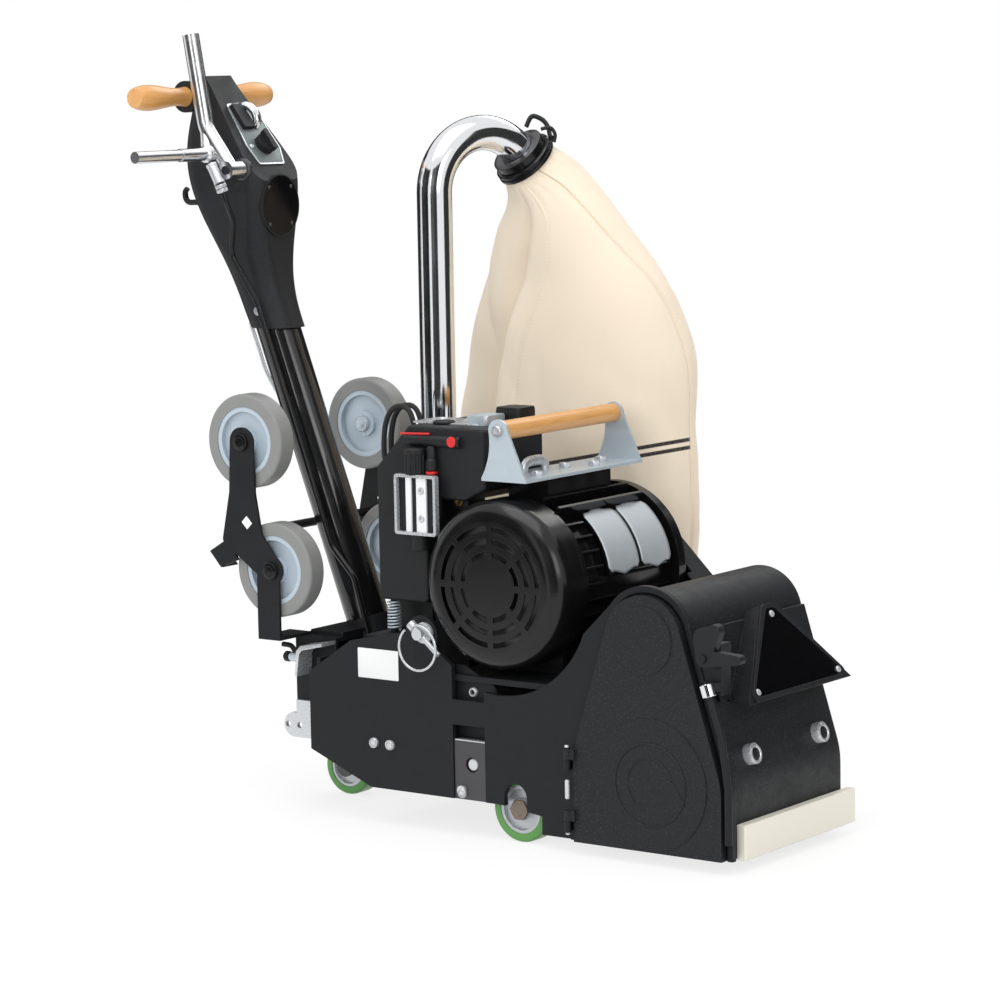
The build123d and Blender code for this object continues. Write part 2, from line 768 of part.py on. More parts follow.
def pulley(x, z, radius, lane):
    """A grooved pulley along Y, for the belt that runs in this lane."""
    disc(x, z, lane - PULLEY_LIP_T, lane + DRIVE_BELT_W + 2 * PULLEY_LIP_T, radius)
    disc(x, z, lane - PULLEY_LIP_T, lane, radius + PULLEY_LIP)
    lip = lane + DRIVE_BELT_W + PULLEY_LIP_T
    disc(x, z, lip, lip + PULLEY_LIP_T, radius + PULLEY_LIP)


def tyre(x, z, y0, y1, radius, bore, edge):
    """A tyre with rounded shoulders."""
    with BuildPart() as made:
        disc(x, z, y0, y1, radius)
        fillet(made.edges().filter_by(GeomType.CIRCLE), edge)
        disc(x, z, y0, y1, bore, mode=Mode.SUBTRACT)
    return made


def hub(x, z, y0, y1, radius, bore, lip, dish, boss):
    """A dished wheel hub with a raised boss round its bore."""
    with BuildPart() as made:
        disc(x, z, y0, y1, radius)
        for face in (y0, y1):
            inward = dish if face == min(y0, y1) else -dish
            disc(x, z, face, face + inward, radius - lip, mode=Mode.SUBTRACT)
            disc(x, z, face, face + inward, boss)
        disc(x, z, y0, y1, bore, mode=Mode.SUBTRACT)
    return made


# Near side panel: the chassis side and the rim round the door
with BuildPart() as near_side_panel:
    with BuildSketch(side(-CHASSIS_HALF)):
        panel_outline()
        door_outline(RIM_GROW)
        door_outline(DOOR_GAP, mode=Mode.SUBTRACT)
        with Locations(((STEP_X + NOTCH_X) / 2, WINDOW_TOP_Z / 2)):
            Rectangle(NOTCH_X - STEP_X, WINDOW_TOP_Z, mode=Mode.SUBTRACT)
    slab(-CHASSIS_HALF, -PANEL_IN)
    seat_top = SPRING_LOW_Z - SPRING_WIRE_R - SPRING_GAP
    block(SPRING_X - SEAT_BLOCK / 2, SPRING_X + SEAT_BLOCK / 2, -PANEL_IN, SPRING_Y + SEAT_BLOCK / 2,
          seat_top - SEAT_BLOCK_T, seat_top)
    disc(STUD_X, STUD_Z, -CHASSIS_HALF, -PANEL_IN, STUD_R, mode=Mode.SUBTRACT)
    for hinge_z in HINGE_ZS:
        block(HINGE_X - KNUCKLE_R, HINGE_X, HINGE_Y, -CHASSIS_HALF, hinge_z, hinge_z + KNUCKLE_L)
        with Locations((HINGE_X, HINGE_Y, hinge_z)):
            Cylinder(KNUCKLE_R, KNUCKLE_L, align=(Align.CENTER, Align.CENTER, Align.MIN))
            Cylinder(HINGE_PIN_R, 2 * KNUCKLE_L + KNUCKLE_GAP,
                     align=(Align.CENTER, Align.CENTER, Align.MIN))

# Far side panel: closes the far end of the belt housing and carries the shafts
with BuildPart() as far_side_panel:
    with BuildSketch(side(PANEL_IN)):
        panel_outline()
        door_outline(-FAR_LOBE_SHRINK)
    slab(PANEL_IN, CHASSIS_HALF)
    disc(0, DRUM_Z, PANEL_IN, CHASSIS_HALF, DRUM_SHAFT_R + BEARING_WALL, mode=Mode.SUBTRACT)
    disc(ROLLER_X, ROLLER_Z, PANEL_IN, CHASSIS_HALF, ROLLER_SHAFT_R + BEARING_WALL, mode=Mode.SUBTRACT)
    disc(BLOWER_X, BLOWER_Z, PANEL_IN, CHASSIS_HALF, IMPELLER_SHAFT_R + SHAFT_CLEAR,
         mode=Mode.SUBTRACT)

# Base plate with the two blocks that carry the wheel crank and the plate behind the side window
with BuildPart() as base_plate:
    block(BASE_REAR_X, BASE_FRONT_X, -PANEL_IN, PANEL_IN, BASE_Z, BASE_Z + BASE_T)
    block(WINDOW_BACK_REAR_X, WINDOW_BACK_FRONT_X, WINDOW_BACK_Y, WINDOW_BACK_Y + WINDOW_BACK_T,
          BASE_Z, WINDOW_BACK_TOP_Z)
    for y in (-BRACKET_Y, BRACKET_Y):
        block(CRANK_X - BRACKET_HALF, BASE_FRONT_X, y - BRACKET_T / 2, y + BRACKET_T / 2,
              BASE_Z, CRANK_Z)
        disc(CRANK_X, CRANK_Z, y - BRACKET_T / 2, y + BRACKET_T / 2, BRACKET_HALF)
    disc(CRANK_X, CRANK_Z, -PANEL_IN, PANEL_IN, CRANK_SHAFT_R + RUNNING, mode=Mode.SUBTRACT)

# Rear frame: cross wall, box with the deck, and the socket of the handle tube
with BuildPart() as rear_frame:
    block(REAR_WALL_X, REAR_WALL_X + REAR_FRAME_T, -PANEL_IN, PANEL_IN, REAR_WALL_LOW_Z,
          SHOULDER_Z - REAR_WALL_DROP)
    block(REAR_FRAME_X, REAR_WALL_X, -REAR_FRAME_HALF, REAR_FRAME_HALF, REAR_FRAME_LOW_Z, DECK_Z)
    block(REAR_FRAME_X + REAR_FRAME_T, REAR_WALL_X, -REAR_FRAME_HALF + REAR_FRAME_T,
          REAR_FRAME_HALF - REAR_FRAME_T, REAR_FRAME_LOW_Z + REAR_FRAME_T, DECK_Z - REAR_FRAME_T,
          mode=Mode.SUBTRACT)
    block(REAR_FRAME_X + DECK_COVER_INSET, REAR_WALL_X, -REAR_FRAME_HALF + DECK_COVER_INSET,
          REAR_FRAME_HALF - DECK_COVER_INSET, DECK_Z, DECK_Z + DECK_COVER_T)
    bar(TUBE_BASE - TUBE_AXIS * TUBE_SUNK, TUBE_BASE + TUBE_AXIS * SOCKET_RISE, SOCKET_R)
    block(PANEL_REAR_X, NOTCH_X, -SOCKET_R, SOCKET_R, 0, REAR_WALL_LOW_Z, mode=Mode.SUBTRACT)
    bar(TUBE_BASE - TUBE_AXIS * (TUBE_SUNK - REAR_FRAME_T), TUBE_BASE + TUBE_AXIS * 2 * SOCKET_R,
        TUBE_R + SEAT, mode=Mode.SUBTRACT)
    with Locations((CASTER_X, 0, REAR_FRAME_LOW_Z)):
        Cylinder(FORK_STEM_R + RUNNING, 2 * (FORK_STEM_L + FORK_STEM_ROOM), mode=Mode.SUBTRACT)

# Bright hitch plate with two holes
with BuildPart() as hitch_plate:
    hitch_out = -REAR_FRAME_HALF - HITCH_T
    with BuildSketch(side(hitch_out)):
        with Locations((HITCH_X, HITCH_Z)):
            Circle(HITCH_R)
        with Locations(((HITCH_X + HITCH_FRONT_X) / 2, HITCH_Z)):
            Rectangle(HITCH_FRONT_X - HITCH_X, 2 * HITCH_R)
        with Locations((HITCH_FRONT_X - HITCH_R, (HITCH_Z + HITCH_TOP_Z) / 2)):
            Rectangle(2 * HITCH_R, HITCH_TOP_Z - HITCH_Z)
        with Locations((HITCH_X, HITCH_Z)):
            with GridLocations(HITCH_SPACING, 1, 2, 1):
                Circle(HITCH_HOLE_R, mode=Mode.SUBTRACT)
    slab(hitch_out, -REAR_FRAME_HALF)

# Latch plate in the side window, with its folded lip
with BuildPart() as latch_plate:
    plate_rear = STEP_X + LATCH_PLATE_GAP
    plate_front = NOTCH_X - LATCH_PLATE_GAP
    plate_face = -CHASSIS_HALF + LATCH_PLATE_T / 2
    block(plate_rear, plate_front, plate_face, plate_face + LATCH_PLATE_T, BELLY_Z, LATCH_PLATE_TOP_Z)
    block(plate_rear, plate_front, plate_face, plate_face + LATCH_LIP, LATCH_PLATE_TOP_Z,
          LATCH_PLATE_TOP_Z + LATCH_PLATE_T / 2)
    block(STEP_X - LATCH_LIP, NOTCH_X + LATCH_LIP, -PANEL_IN, plate_face + LATCH_LIP,
          BELLY_Z + LATCH_CLIP_RISE, LATCH_PLATE_TOP_Z)
    disc(CRANK_X, CRANK_Z, plate_face, plate_face + LATCH_LIP, LATCH_HOLE_R, mode=Mode.SUBTRACT)

# Belt housing shell, closed at its far end round the two shafts
with BuildPart() as drum_housing:
    with BuildSketch(side(-PANEL_IN)):
        door_outline(HOUSING_GROW)
    slab(-PANEL_IN, HOUSING_FAR_Y)
    end_edges = drum_housing.edges().group_by(Axis.Y)[-1].sort_by(Axis.Z)
    fillet(end_edges[1:], HOUSING_END_R)
    with BuildSketch(side(-PANEL_IN)):
        door_outline(HOUSING_GROW - HOUSING_WALL)
    slab(-PANEL_IN, HOUSING_FAR_Y - HOUSING_WALL, mode=Mode.SUBTRACT)
    for x, z, shaft in ((0, DRUM_Z, DRUM_SHAFT_R), (ROLLER_X, ROLLER_Z, ROLLER_SHAFT_R)):
        disc(x, z, DRUM_FAR_Y, HOUSING_FAR_Y, shaft + SHAFT_CLEAR, mode=Mode.SUBTRACT)

# Hood on the front of the housing: a band with a raised triangle
with BuildPart() as front_hood:
    with BuildSketch(side(-HOOD_NEAR)):
        door_outline(HOUSING_GROW + HOOD_BAND_T)
        door_outline(HOUSING_GROW, mode=Mode.SUBTRACT)
        with Locations((DOOR_FRONT_X, (HOOD_BAND_LOW_Z + HOOD_BAND_HIGH_Z) / 2)):
            Rectangle(2 * (DOOR_FRONT_X - ROLLER_X), HOOD_BAND_HIGH_Z - HOOD_BAND_LOW_Z,
                      mode=Mode.INTERSECT)
    slab(-HOOD_NEAR, HOUSING_FAR_Y - HOOD_FAR_INSET)
    slope = Vector(HOOD_TOP[0] - HOOD_FOOT[0], 0, HOOD_TOP[1] - HOOD_FOOT[1])
    face = Plane(origin=(HOOD_FOOT[0], HOOD_MID_Y, HOOD_FOOT[1]), x_dir=(0, 1, 0),
                 z_dir=Vector(0, 1, 0).cross(slope))
    with BuildSketch(face):
        with BuildLine():
            Polyline((-HOOD_FOOT_HALF, 0), (HOOD_FOOT_HALF, 0), (HOOD_TOP_HALF, slope.length),
                     (-HOOD_TOP_HALF, slope.length), close=True)
        make_face()
    extrude(amount=-HOOD_DEPTH)
    with BuildSketch(side(-PANEL_IN)):
        door_outline(HOUSING_GROW)
    slab(-PANEL_IN, GUARD_FACE, mode=Mode.SUBTRACT)
    block(-DOOR_FRONT_X, ROLLER_X, -PANEL_IN, GUARD_FACE, 0, 2 * ROLLER_Z, mode=Mode.SUBTRACT)
    block(-DOOR_FRONT_X, 2 * DOOR_FRONT_X, HOUSING_FAR_Y, GUARD_FACE, 0, 2 * ROLLER_Z, mode=Mode.SUBTRACT)
    block(-DOOR_FRONT_X, 2 * DOOR_FRONT_X, -PANEL_IN, -HOOD_NEAR, 0, 2 * ROLLER_Z, mode=Mode.SUBTRACT)
    block(-DOOR_FRONT_X, 2 * DOOR_FRONT_X, -PANEL_IN, GUARD_FACE, 0, HOOD_FOOT[1], mode=Mode.SUBTRACT)

# Pale bumper along the foot of the front wall
with BuildPart() as front_bumper:
    bumper_x = DOOR_FRONT_X + HOUSING_GROW
    block(bumper_x, bumper_x + BUMPER_T, -BUMPER_NEAR, CHASSIS_HALF, BUMPER_LOW_Z, BUMPER_LOW_Z + BUMPER_H)
    chamfer(front_bumper.edges(), BUMPER_EDGE)

# Door with its two raised discs and its hinge knuckles
with BuildPart() as belt_door:
    with BuildSketch(side(-DOOR_FACE)):
        door_outline(0)
    slab(-DOOR_FACE, -DOOR_FACE + DOOR_T)
    with BuildSketch(side(-DOOR_FACE + DOOR_SKIN)):
        door_outline(-DOOR_SKIN)
        with Locations((0, DOOR_BOTTOM_Z)):
            Rectangle(4 * DOOR_FRONT_X, 2 * DOOR_SKIN, mode=Mode.SUBTRACT)
    slab(-DOOR_FACE + DOOR_SKIN, -DOOR_FACE + DOOR_T, mode=Mode.SUBTRACT)
    disc(0, DRUM_Z + DOOR_SKIN, -DOOR_FACE - DOOR_EMBOSS, -DOOR_FACE, LOWER_BOSS_R)
    disc(ROLLER_X, ROLLER_Z, -DOOR_FACE - DOOR_EMBOSS, -DOOR_FACE, UPPER_BOSS_R)
    for hinge_z in HINGE_ZS:
        low = hinge_z + KNUCKLE_L + KNUCKLE_GAP
        block(HINGE_X, DOOR_REAR_X + KNUCKLE_R, HINGE_Y - HINGE_LEAF, -DOOR_FACE + HINGE_LEAF,
              low, low + KNUCKLE_L)
        with Locations((HINGE_X, HINGE_Y, low)):
            Cylinder(KNUCKLE_R, KNUCKLE_L, align=(Align.CENTER, Align.CENTER, Align.MIN))
            Cylinder(HINGE_PIN_R + RUNNING, KNUCKLE_L, align=(Align.CENTER, Align.CENTER, Align.MIN),
                     mode=Mode.SUBTRACT)

# Latch bracket with its rod and collar
with BuildPart() as latch_rod:
    block(ROLLER_X, LATCH_BLOCK_X, -LATCH_BLOCK_OUT, -LATCH_BLOCK_IN, LATCH_BLOCK_LOW_Z, LATCH_BLOCK_HIGH_Z)
    with BuildSketch(side(-CHASSIS_HALF)):
        door_outline(RIM_GROW)
    slab(-CHASSIS_HALF, -LATCH_BLOCK_IN, mode=Mode.SUBTRACT)
    lever_face = -CHASSIS_HALF - LATCH_GAP - LATCH_T
    disc(LATCH_X, LATCH_Z, lever_face - LATCH_PIN_PROUD, -LATCH_BLOCK_OUT, LATCH_PIN_R)
    rod_top = (LATCH_ROD[0][0], LATCH_ROD_Y, LATCH_ROD[0][1])
    rod_next = (LATCH_ROD[1][0], LATCH_ROD_Y, LATCH_ROD[1][1])
    rod_way = (Vector(*rod_next) - Vector(*rod_top)).normalized()
    with BuildLine() as latch_line:
        FilletPolyline(*[(x, LATCH_ROD_Y, z) for x, z in LATCH_ROD], radius=LATCH_ROD_BEND)
    with BuildSketch(Plane(origin=rod_top, z_dir=rod_way)):
        Circle(LATCH_ROD_R)
    sweep(path=latch_line.line)
    bar(Vector(*rod_top) - rod_way * LATCH_COLLAR_L / 2, Vector(*rod_top) + rod_way * LATCH_COLLAR_L / 2,
        LATCH_COLLAR_R)
    block(LATCH_ROD[0][0] - LATCH_ROD_R, LATCH_BLOCK_X, LATCH_ROD_Y, -LATCH_BLOCK_OUT, LATCH_ROD[0][1],
          LATCH_BLOCK_LOW_Z + 2 * LATCH_COLLAR_R)

# Latch lever on its pin
with BuildPart() as latch_lever:
    with BuildSketch(side(lever_face)):
        round_hull((LATCH_X, LATCH_Z, LATCH_EYE_R),
                   (*on_circle(LATCH_X, LATCH_Z, LATCH_HEEL, LATCH_HEEL_ANGLE), LATCH_HEEL_R),
                   (*on_circle(LATCH_X, LATCH_Z, LATCH_CREST, LATCH_CREST_ANGLE), LATCH_CREST_R))
        round_hull((LATCH_X, LATCH_Z, LATCH_ARM_R),
                   (*on_circle(LATCH_X, LATCH_Z, LATCH_ARM, LATCH_ARM_ANGLE), LATCH_TIP_R))
        with Locations((LATCH_X, LATCH_Z)):
            Circle(LATCH_PIN_R + RUNNING, mode=Mode.SUBTRACT)
    slab(lever_face, lever_face + LATCH_T)

# Sanding drum: a hollow faced drum on its shaft
with BuildPart() as sanding_drum:
    disc(0, DRUM_Z, DRUM_NEAR_Y, DRUM_FAR_Y, DRUM_R)
    disc(0, DRUM_Z, DRUM_NEAR_Y + DRUM_WEB, DRUM_FAR_Y - DRUM_WEB, DRUM_R - DRUM_WALL, mode=Mode.SUBTRACT)
    disc(0, DRUM_Z, DRUM_NEAR_Y, DRUM_FAR_Y, DRUM_SHAFT_R, mode=Mode.SUBTRACT)

with BuildPart() as drum_shaft:
    disc(0, DRUM_Z, DRUM_NEAR_Y, SHAFT_END_Y, DRUM_SHAFT_R)
    pulley(0, DRUM_Z, PULLEY_DRUM_R, LANE_ONE)

with BuildPart() as tension_roller:
    disc(ROLLER_X, ROLLER_Z, DRUM_NEAR_Y, DRUM_FAR_Y, ROLLER_R)
    disc(ROLLER_X, ROLLER_Z, DRUM_NEAR_Y, CHASSIS_HALF, ROLLER_SHAFT_R)

# Abrasive belt round the drum and the roller
with BuildPart() as abrasive_belt:
    inner_drum = DRUM_R + BELT_GAP
    inner_roller = ROLLER_R + BELT_GAP
    with BuildSketch(side(DRUM_NEAR_Y)):
        round_hull((0, DRUM_Z, inner_drum + ABRASIVE_T), (ROLLER_X, ROLLER_Z, inner_roller + ABRASIVE_T))
    slab(DRUM_NEAR_Y, DRUM_FAR_Y)
    with BuildSketch(side(DRUM_NEAR_Y)):
        round_hull((0, DRUM_Z, inner_drum), (ROLLER_X, ROLLER_Z, inner_roller))
    slab(DRUM_NEAR_Y, DRUM_FAR_Y, mode=Mode.SUBTRACT)

# Bearings in the far panel and in the wall of the suction fan
with BuildPart() as bearings:
    for x, z, shaft in ((0, DRUM_Z, DRUM_SHAFT_R), (ROLLER_X, ROLLER_Z, ROLLER_SHAFT_R)):
        disc(x, z, CHASSIS_HALF - PANEL_T, CHASSIS_HALF, shaft + BEARING_WALL)
        disc(x, z, CHASSIS_HALF - PANEL_T, CHASSIS_HALF, shaft + RUNNING, mode=Mode.SUBTRACT)
    disc(BLOWER_X, BLOWER_Z, BLOWER_FAR_Y, BLOWER_FAR_Y + BEARING_L, IMPELLER_SHAFT_R + BEARING_WALL)
    disc(BLOWER_X, BLOWER_Z, BLOWER_FAR_Y, BLOWER_FAR_Y + BEARING_L, IMPELLER_SHAFT_R + RUNNING,
         mode=Mode.SUBTRACT)

# Motor frame with fins, end bells and the pad on its top
with BuildPart() as motor_frame:
    flange_y = FAN_COVER_Y + FAN_COVER_L
    barrel_y = flange_y + MOTOR_FLANGE_L
    disc(MOTOR_X, MOTOR_Z, flange_y, barrel_y, FAN_COVER_R)
    with BuildSketch(side(barrel_y)):
        with Locations((MOTOR_X, MOTOR_Z)):
            Circle(MOTOR_R)
    slab(barrel_y, MOTOR_FAR_Y)
    fin_groups = (
        (FIN_COUNT, FIN_START_ANGLE, FIN_END_ANGLE, MOTOR_FAR_Y - FIN_INSET),
        (SHORT_FIN_COUNT, SHORT_FIN_START_ANGLE, SHORT_FIN_END_ANGLE, barrel_y + FIN_INSET + SHORT_FIN_L),
    )
    fin_middle = (MOTOR_R + FIN_R - FIN_ROOT) / 2
    for count, first, last, fin_end in fin_groups:
        with BuildSketch(side(barrel_y + FIN_INSET)):
            with Locations((MOTOR_X, MOTOR_Z)):
                with PolarLocations(fin_middle, count, first, last - first, endpoint=True):
                    Rectangle(FIN_R - MOTOR_R + FIN_ROOT, FIN_T)
        slab(barrel_y + FIN_INSET, fin_end)
    top_fin_middle = (MOTOR_R + TOP_FIN_R - FIN_ROOT) / 2
    with BuildSketch(side(barrel_y + FIN_INSET)):
        with Locations((MOTOR_X, MOTOR_Z)):
            for angle in TOP_FIN_ANGLES:
                with PolarLocations(top_fin_middle, 1, angle):
                    Rectangle(TOP_FIN_R - MOTOR_R + FIN_ROOT, TOP_FIN_T)
    slab(barrel_y + FIN_INSET, MOTOR_FAR_Y - TOP_FIN_FAR_GAP)
    disc(MOTOR_X, MOTOR_Z, MOTOR_FAR_Y, MOTOR_FAR_Y + BELL_L, BELL_R)
    fillet(motor_frame.edges().group_by(Axis.Y)[-1], BELL_EDGE)
    disc(MOTOR_X, MOTOR_Z, MOTOR_FAR_Y + BELL_L, MOTOR_FAR_Y + BELL_L + BELL_CAP_L, BELL_CAP_R)
    block(PAD_REAR_X, PAD_FRONT_X, PAD_NEAR_Y, PAD_FAR_Y, MOTOR_Z + MOTOR_BORE_R + PAD_ROOT, PAD_TOP_Z)
    disc(MOTOR_X, MOTOR_Z, barrel_y, MOTOR_FAR_Y, MOTOR_BORE_R, mode=Mode.SUBTRACT)
    disc(MOTOR_X, MOTOR_Z, flange_y, MOTOR_FAR_Y + BELL_L + BELL_CAP_L, ROTOR_SHAFT_R + RUNNING,
         mode=Mode.SUBTRACT)

# Slotted fan cover
with BuildPart() as fan_cover:
    disc(MOTOR_X, MOTOR_Z, FAN_COVER_Y, flange_y, FAN_COVER_R)
    fillet(fan_cover.edges().filter_by(GeomType.CIRCLE).sort_by(Axis.Y)[0], FAN_COVER_EDGE)
    offset(amount=-FAN_COVER_T, openings=fan_cover.faces().sort_by(Axis.Y)[-1])
    with BuildSketch(side(FAN_COVER_Y)):
        with Locations((MOTOR_X, MOTOR_Z)):
            for ring in FAN_SLOT_RINGS:
                Circle(ring + FAN_SLOT_W / 2)
                Circle(ring - FAN_SLOT_W / 2, mode=Mode.SUBTRACT)
            with PolarLocations(0, FAN_SPOKES):
                Rectangle(2 * FAN_COVER_R, FAN_SPOKE_W, mode=Mode.SUBTRACT)
    slab(FAN_COVER_Y, FAN_COVER_Y + 2 * FAN_COVER_T, mode=Mode.SUBTRACT)

# Rotor with its cooling fan and the pulley for both belts
with BuildPart() as motor_rotor:
    fan_y = FAN_COVER_Y + FAN_COVER_T + FAN_GAP
    disc(MOTOR_X, MOTOR_Z, fan_y, SHAFT_END_Y, ROTOR_SHAFT_R)
    disc(MOTOR_X, MOTOR_Z, barrel_y + ROTOR_CORE_INSET, MOTOR_FAR_Y - ROTOR_CORE_INSET, ROTOR_CORE_R)
    disc(MOTOR_X, MOTOR_Z, fan_y, fan_y + FAN_DISC_T, FAN_R)
    with BuildSketch(side(fan_y + FAN_DISC_T)):
        with Locations((MOTOR_X, MOTOR_Z)):
            with PolarLocations((FAN_R + ROTOR_SHAFT_R) / 2 - FAN_BLADE_T, FAN_BLADES):
                Rectangle(FAN_R - ROTOR_SHAFT_R, FAN_BLADE_T)
    slab(fan_y + FAN_DISC_T, fan_y + FAN_DISC_T + FAN_BLADE_L)
    pulley(MOTOR_X, MOTOR_Z, PULLEY_MOTOR_R, LANE_ONE)
    pulley(MOTOR_X, MOTOR_Z, PULLEY_MOTOR_R, LANE_TWO)

# Saddle that carries the motor between the side panels
with BuildPart() as motor_base:
    block(CRADLE_REAR_X, CRADLE_FRONT_X, -PANEL_IN, PANEL_IN, CRADLE_Z, CRADLE_Z + CRADLE_T)
    for y in (-CRADLE_WALL_Y, CRADLE_WALL_Y):
        block(MOTOR_X - CRADLE_HALF, MOTOR_X + CRADLE_HALF, y - CRADLE_WALL_T / 2, y + CRADLE_WALL_T / 2,
              CRADLE_Z, CRADLE_TOP_Z)
    disc(MOTOR_X, MOTOR_Z, -PANEL_IN, PANEL_IN, hypot(FIN_R, FIN_T / 2), mode=Mode.SUBTRACT)
    with BuildSketch(side(FOOT_Y)) as foot:
        with BuildLine():
            Polyline(*FOOT_OUTLINE, close=True)
        make_face()
        fillet(foot.vertices(), FOOT_EDGE)
    slab(FOOT_Y, FOOT_Y + FOOT_T)

# Two drive belts, each in its own lane
with BuildPart() as drive_belts:
    for x, z, radius, lane in ((0, DRUM_Z, PULLEY_DRUM_R, LANE_ONE),
                               (BLOWER_X, BLOWER_Z, PULLEY_FAN_R, LANE_TWO)):
        belt_y = lane + PULLEY_LIP_T / 2
        outer = BELT_GAP + DRIVE_BELT_T
        with BuildSketch(side(belt_y)):
            round_hull((MOTOR_X, MOTOR_Z, PULLEY_MOTOR_R + outer), (x, z, radius + outer))
        slab(belt_y, belt_y + DRIVE_BELT_W)
        with BuildSketch(side(belt_y)):
            round_hull((MOTOR_X, MOTOR_Z, PULLEY_MOTOR_R + BELT_GAP), (x, z, radius + BELT_GAP))
        slab(belt_y, belt_y + DRIVE_BELT_W, mode=Mode.SUBTRACT)

# Guard over the belts
with BuildPart() as belt_guard:
    guard_circles = [(0, DRUM_Z, PULLEY_DRUM_R), (MOTOR_X, MOTOR_Z, PULLEY_MOTOR_R),
                     (BLOWER_X, BLOWER_Z, PULLEY_FAN_R)]
    room = PULLEY_LIP + GUARD_ROOM
    with BuildSketch(side(CHASSIS_HALF)):
        round_hull(*[(x, z, radius + room) for x, z, radius in guard_circles])
    slab(CHASSIS_HALF, GUARD_FACE)
    fillet(belt_guard.edges().group_by(Axis.Y)[-1], 2 * GUARD_T)
    with BuildSketch(side(CHASSIS_HALF)):
        round_hull(*[(x, z, radius + room - GUARD_T) for x, z, radius in guard_circles])
    slab(CHASSIS_HALF, GUARD_FACE - GUARD_T, mode=Mode.SUBTRACT)
    disc(MOTOR_X, MOTOR_Z, CHASSIS_HALF, LANE_ONE - PULLEY_LIP_T, BELL_R + GUARD_BELL_ROOM, mode=Mode.SUBTRACT)

# Suction fan housing with its duct to the belt housing
with BuildPart() as suction_housing:
    disc(BLOWER_X, BLOWER_Z, BLOWER_NEAR_Y, BLOWER_FAR_Y, BLOWER_R)
    with Locations((PIPE_X, PIPE_Y, (BLOWER_Z + NECK_TOP_Z) / 2)):
        Cylinder(PIPE_R + NECK_T, NECK_TOP_Z - BLOWER_Z)
    block(DUCT_REAR_X, ROLLER_X, DUCT_NEAR_Y, BLOWER_NEAR_Y, DUCT_LOW_Z, DUCT_HIGH_Z)
    block(DUCT_REAR_X, DUCT_RISE_X, DUCT_NEAR_Y, BLOWER_NEAR_Y, DUCT_LOW_Z, DUCT_RISE_Z)
    disc(BLOWER_X, BLOWER_Z, BLOWER_NEAR_Y + BLOWER_T, BLOWER_FAR_Y - BLOWER_T, BLOWER_R - BLOWER_T,
         mode=Mode.SUBTRACT)
    with Locations((PIPE_X, PIPE_Y, (PIPE_LOW_Z + NECK_TOP_Z) / 2)):
        Cylinder(PIPE_R + SEAT, NECK_TOP_Z - PIPE_LOW_Z, mode=Mode.SUBTRACT)
    with Locations((PIPE_X, PIPE_Y, (BLOWER_Z + PIPE_LOW_Z) / 2)):
        Cylinder(PIPE_R - PIPE_T, PIPE_LOW_Z - BLOWER_Z, mode=Mode.SUBTRACT)
    block(DUCT_REAR_X + DUCT_T, ROLLER_X, DUCT_NEAR_Y + DUCT_T, BLOWER_NEAR_Y - DUCT_T,
          DUCT_LOW_Z + DUCT_T, DUCT_HIGH_Z - DUCT_T, mode=Mode.SUBTRACT)
    block(DUCT_REAR_X + DUCT_T, DUCT_RISE_X - DUCT_T, DUCT_NEAR_Y + DUCT_T, BLOWER_NEAR_Y - DUCT_T,
          DUCT_LOW_Z + DUCT_T, DUCT_RISE_Z - DUCT_T, mode=Mode.SUBTRACT)
    disc(BLOWER_X, BLOWER_Z, DUCT_NEAR_Y + DUCT_T, BLOWER_NEAR_Y + 2 * BLOWER_T, BLOWER_INLET_R,
         mode=Mode.SUBTRACT)
    disc(BLOWER_X, BLOWER_Z, BLOWER_FAR_Y - 2 * BLOWER_T, BLOWER_FAR_Y, IMPELLER_SHAFT_R + 2 * SEAT,
         mode=Mode.SUBTRACT)
    with BuildSketch(side(-PANEL_IN)):
        door_outline(HOUSING_GROW)
    slab(-PANEL_IN, PANEL_IN, mode=Mode.SUBTRACT)

# Impeller on its shaft
with BuildPart() as impeller:
    disc_y = BLOWER_FAR_Y - BLOWER_T - 3 * IMPELLER_DISC_T
    disc(BLOWER_X, BLOWER_Z, disc_y, disc_y + IMPELLER_DISC_T, IMPELLER_R)
    disc(BLOWER_X, BLOWER_Z, disc_y - IMPELLER_BLADE_L, SHAFT_END_Y, IMPELLER_SHAFT_R)
    with BuildSketch(side(disc_y - IMPELLER_BLADE_L)):
        with Locations((BLOWER_X, BLOWER_Z)):
            with PolarLocations((IMPELLER_R + IMPELLER_SHAFT_R) / 2 - IMPELLER_BLADE_T, IMPELLER_BLADES):
                Rectangle(IMPELLER_R - IMPELLER_SHAFT_R, IMPELLER_BLADE_T)
    slab(disc_y - IMPELLER_BLADE_L, disc_y)
    pulley(BLOWER_X, BLOWER_Z, PULLEY_FAN_R, LANE_TWO)

# Suction pipe: straight up, then over in one bend
with BuildPart() as suction_pipe:
    heading = Vector(cos(radians(PIPE_HEADING_ANGLE)), sin(radians(PIPE_HEADING_ANGLE)), 0)
    bend_plane = Plane(origin=(PIPE_X, PIPE_Y, 0), x_dir=heading, z_dir=heading.cross(Vector(0, 0, 1)))
    with BuildLine(bend_plane) as pipe_line:
        Line((0, PIPE_LOW_Z), (0, PIPE_BEND_Z))
        bend = JernArc((0, PIPE_BEND_Z), (0, 1), PIPE_BEND_R, -PIPE_BEND_ANGLE)
        Line(bend @ 1, (bend @ 1) + (bend % 1) * PIPE_TAIL)
    with BuildSketch(Plane(origin=(PIPE_X, PIPE_Y, PIPE_LOW_Z))):
        Circle(PIPE_R)
        Circle(PIPE_R - PIPE_T, mode=Mode.SUBTRACT)
    sweep(path=pipe_line.line)
    pipe_end = pipe_line.line @ 1
    pipe_way = pipe_line.line % 1

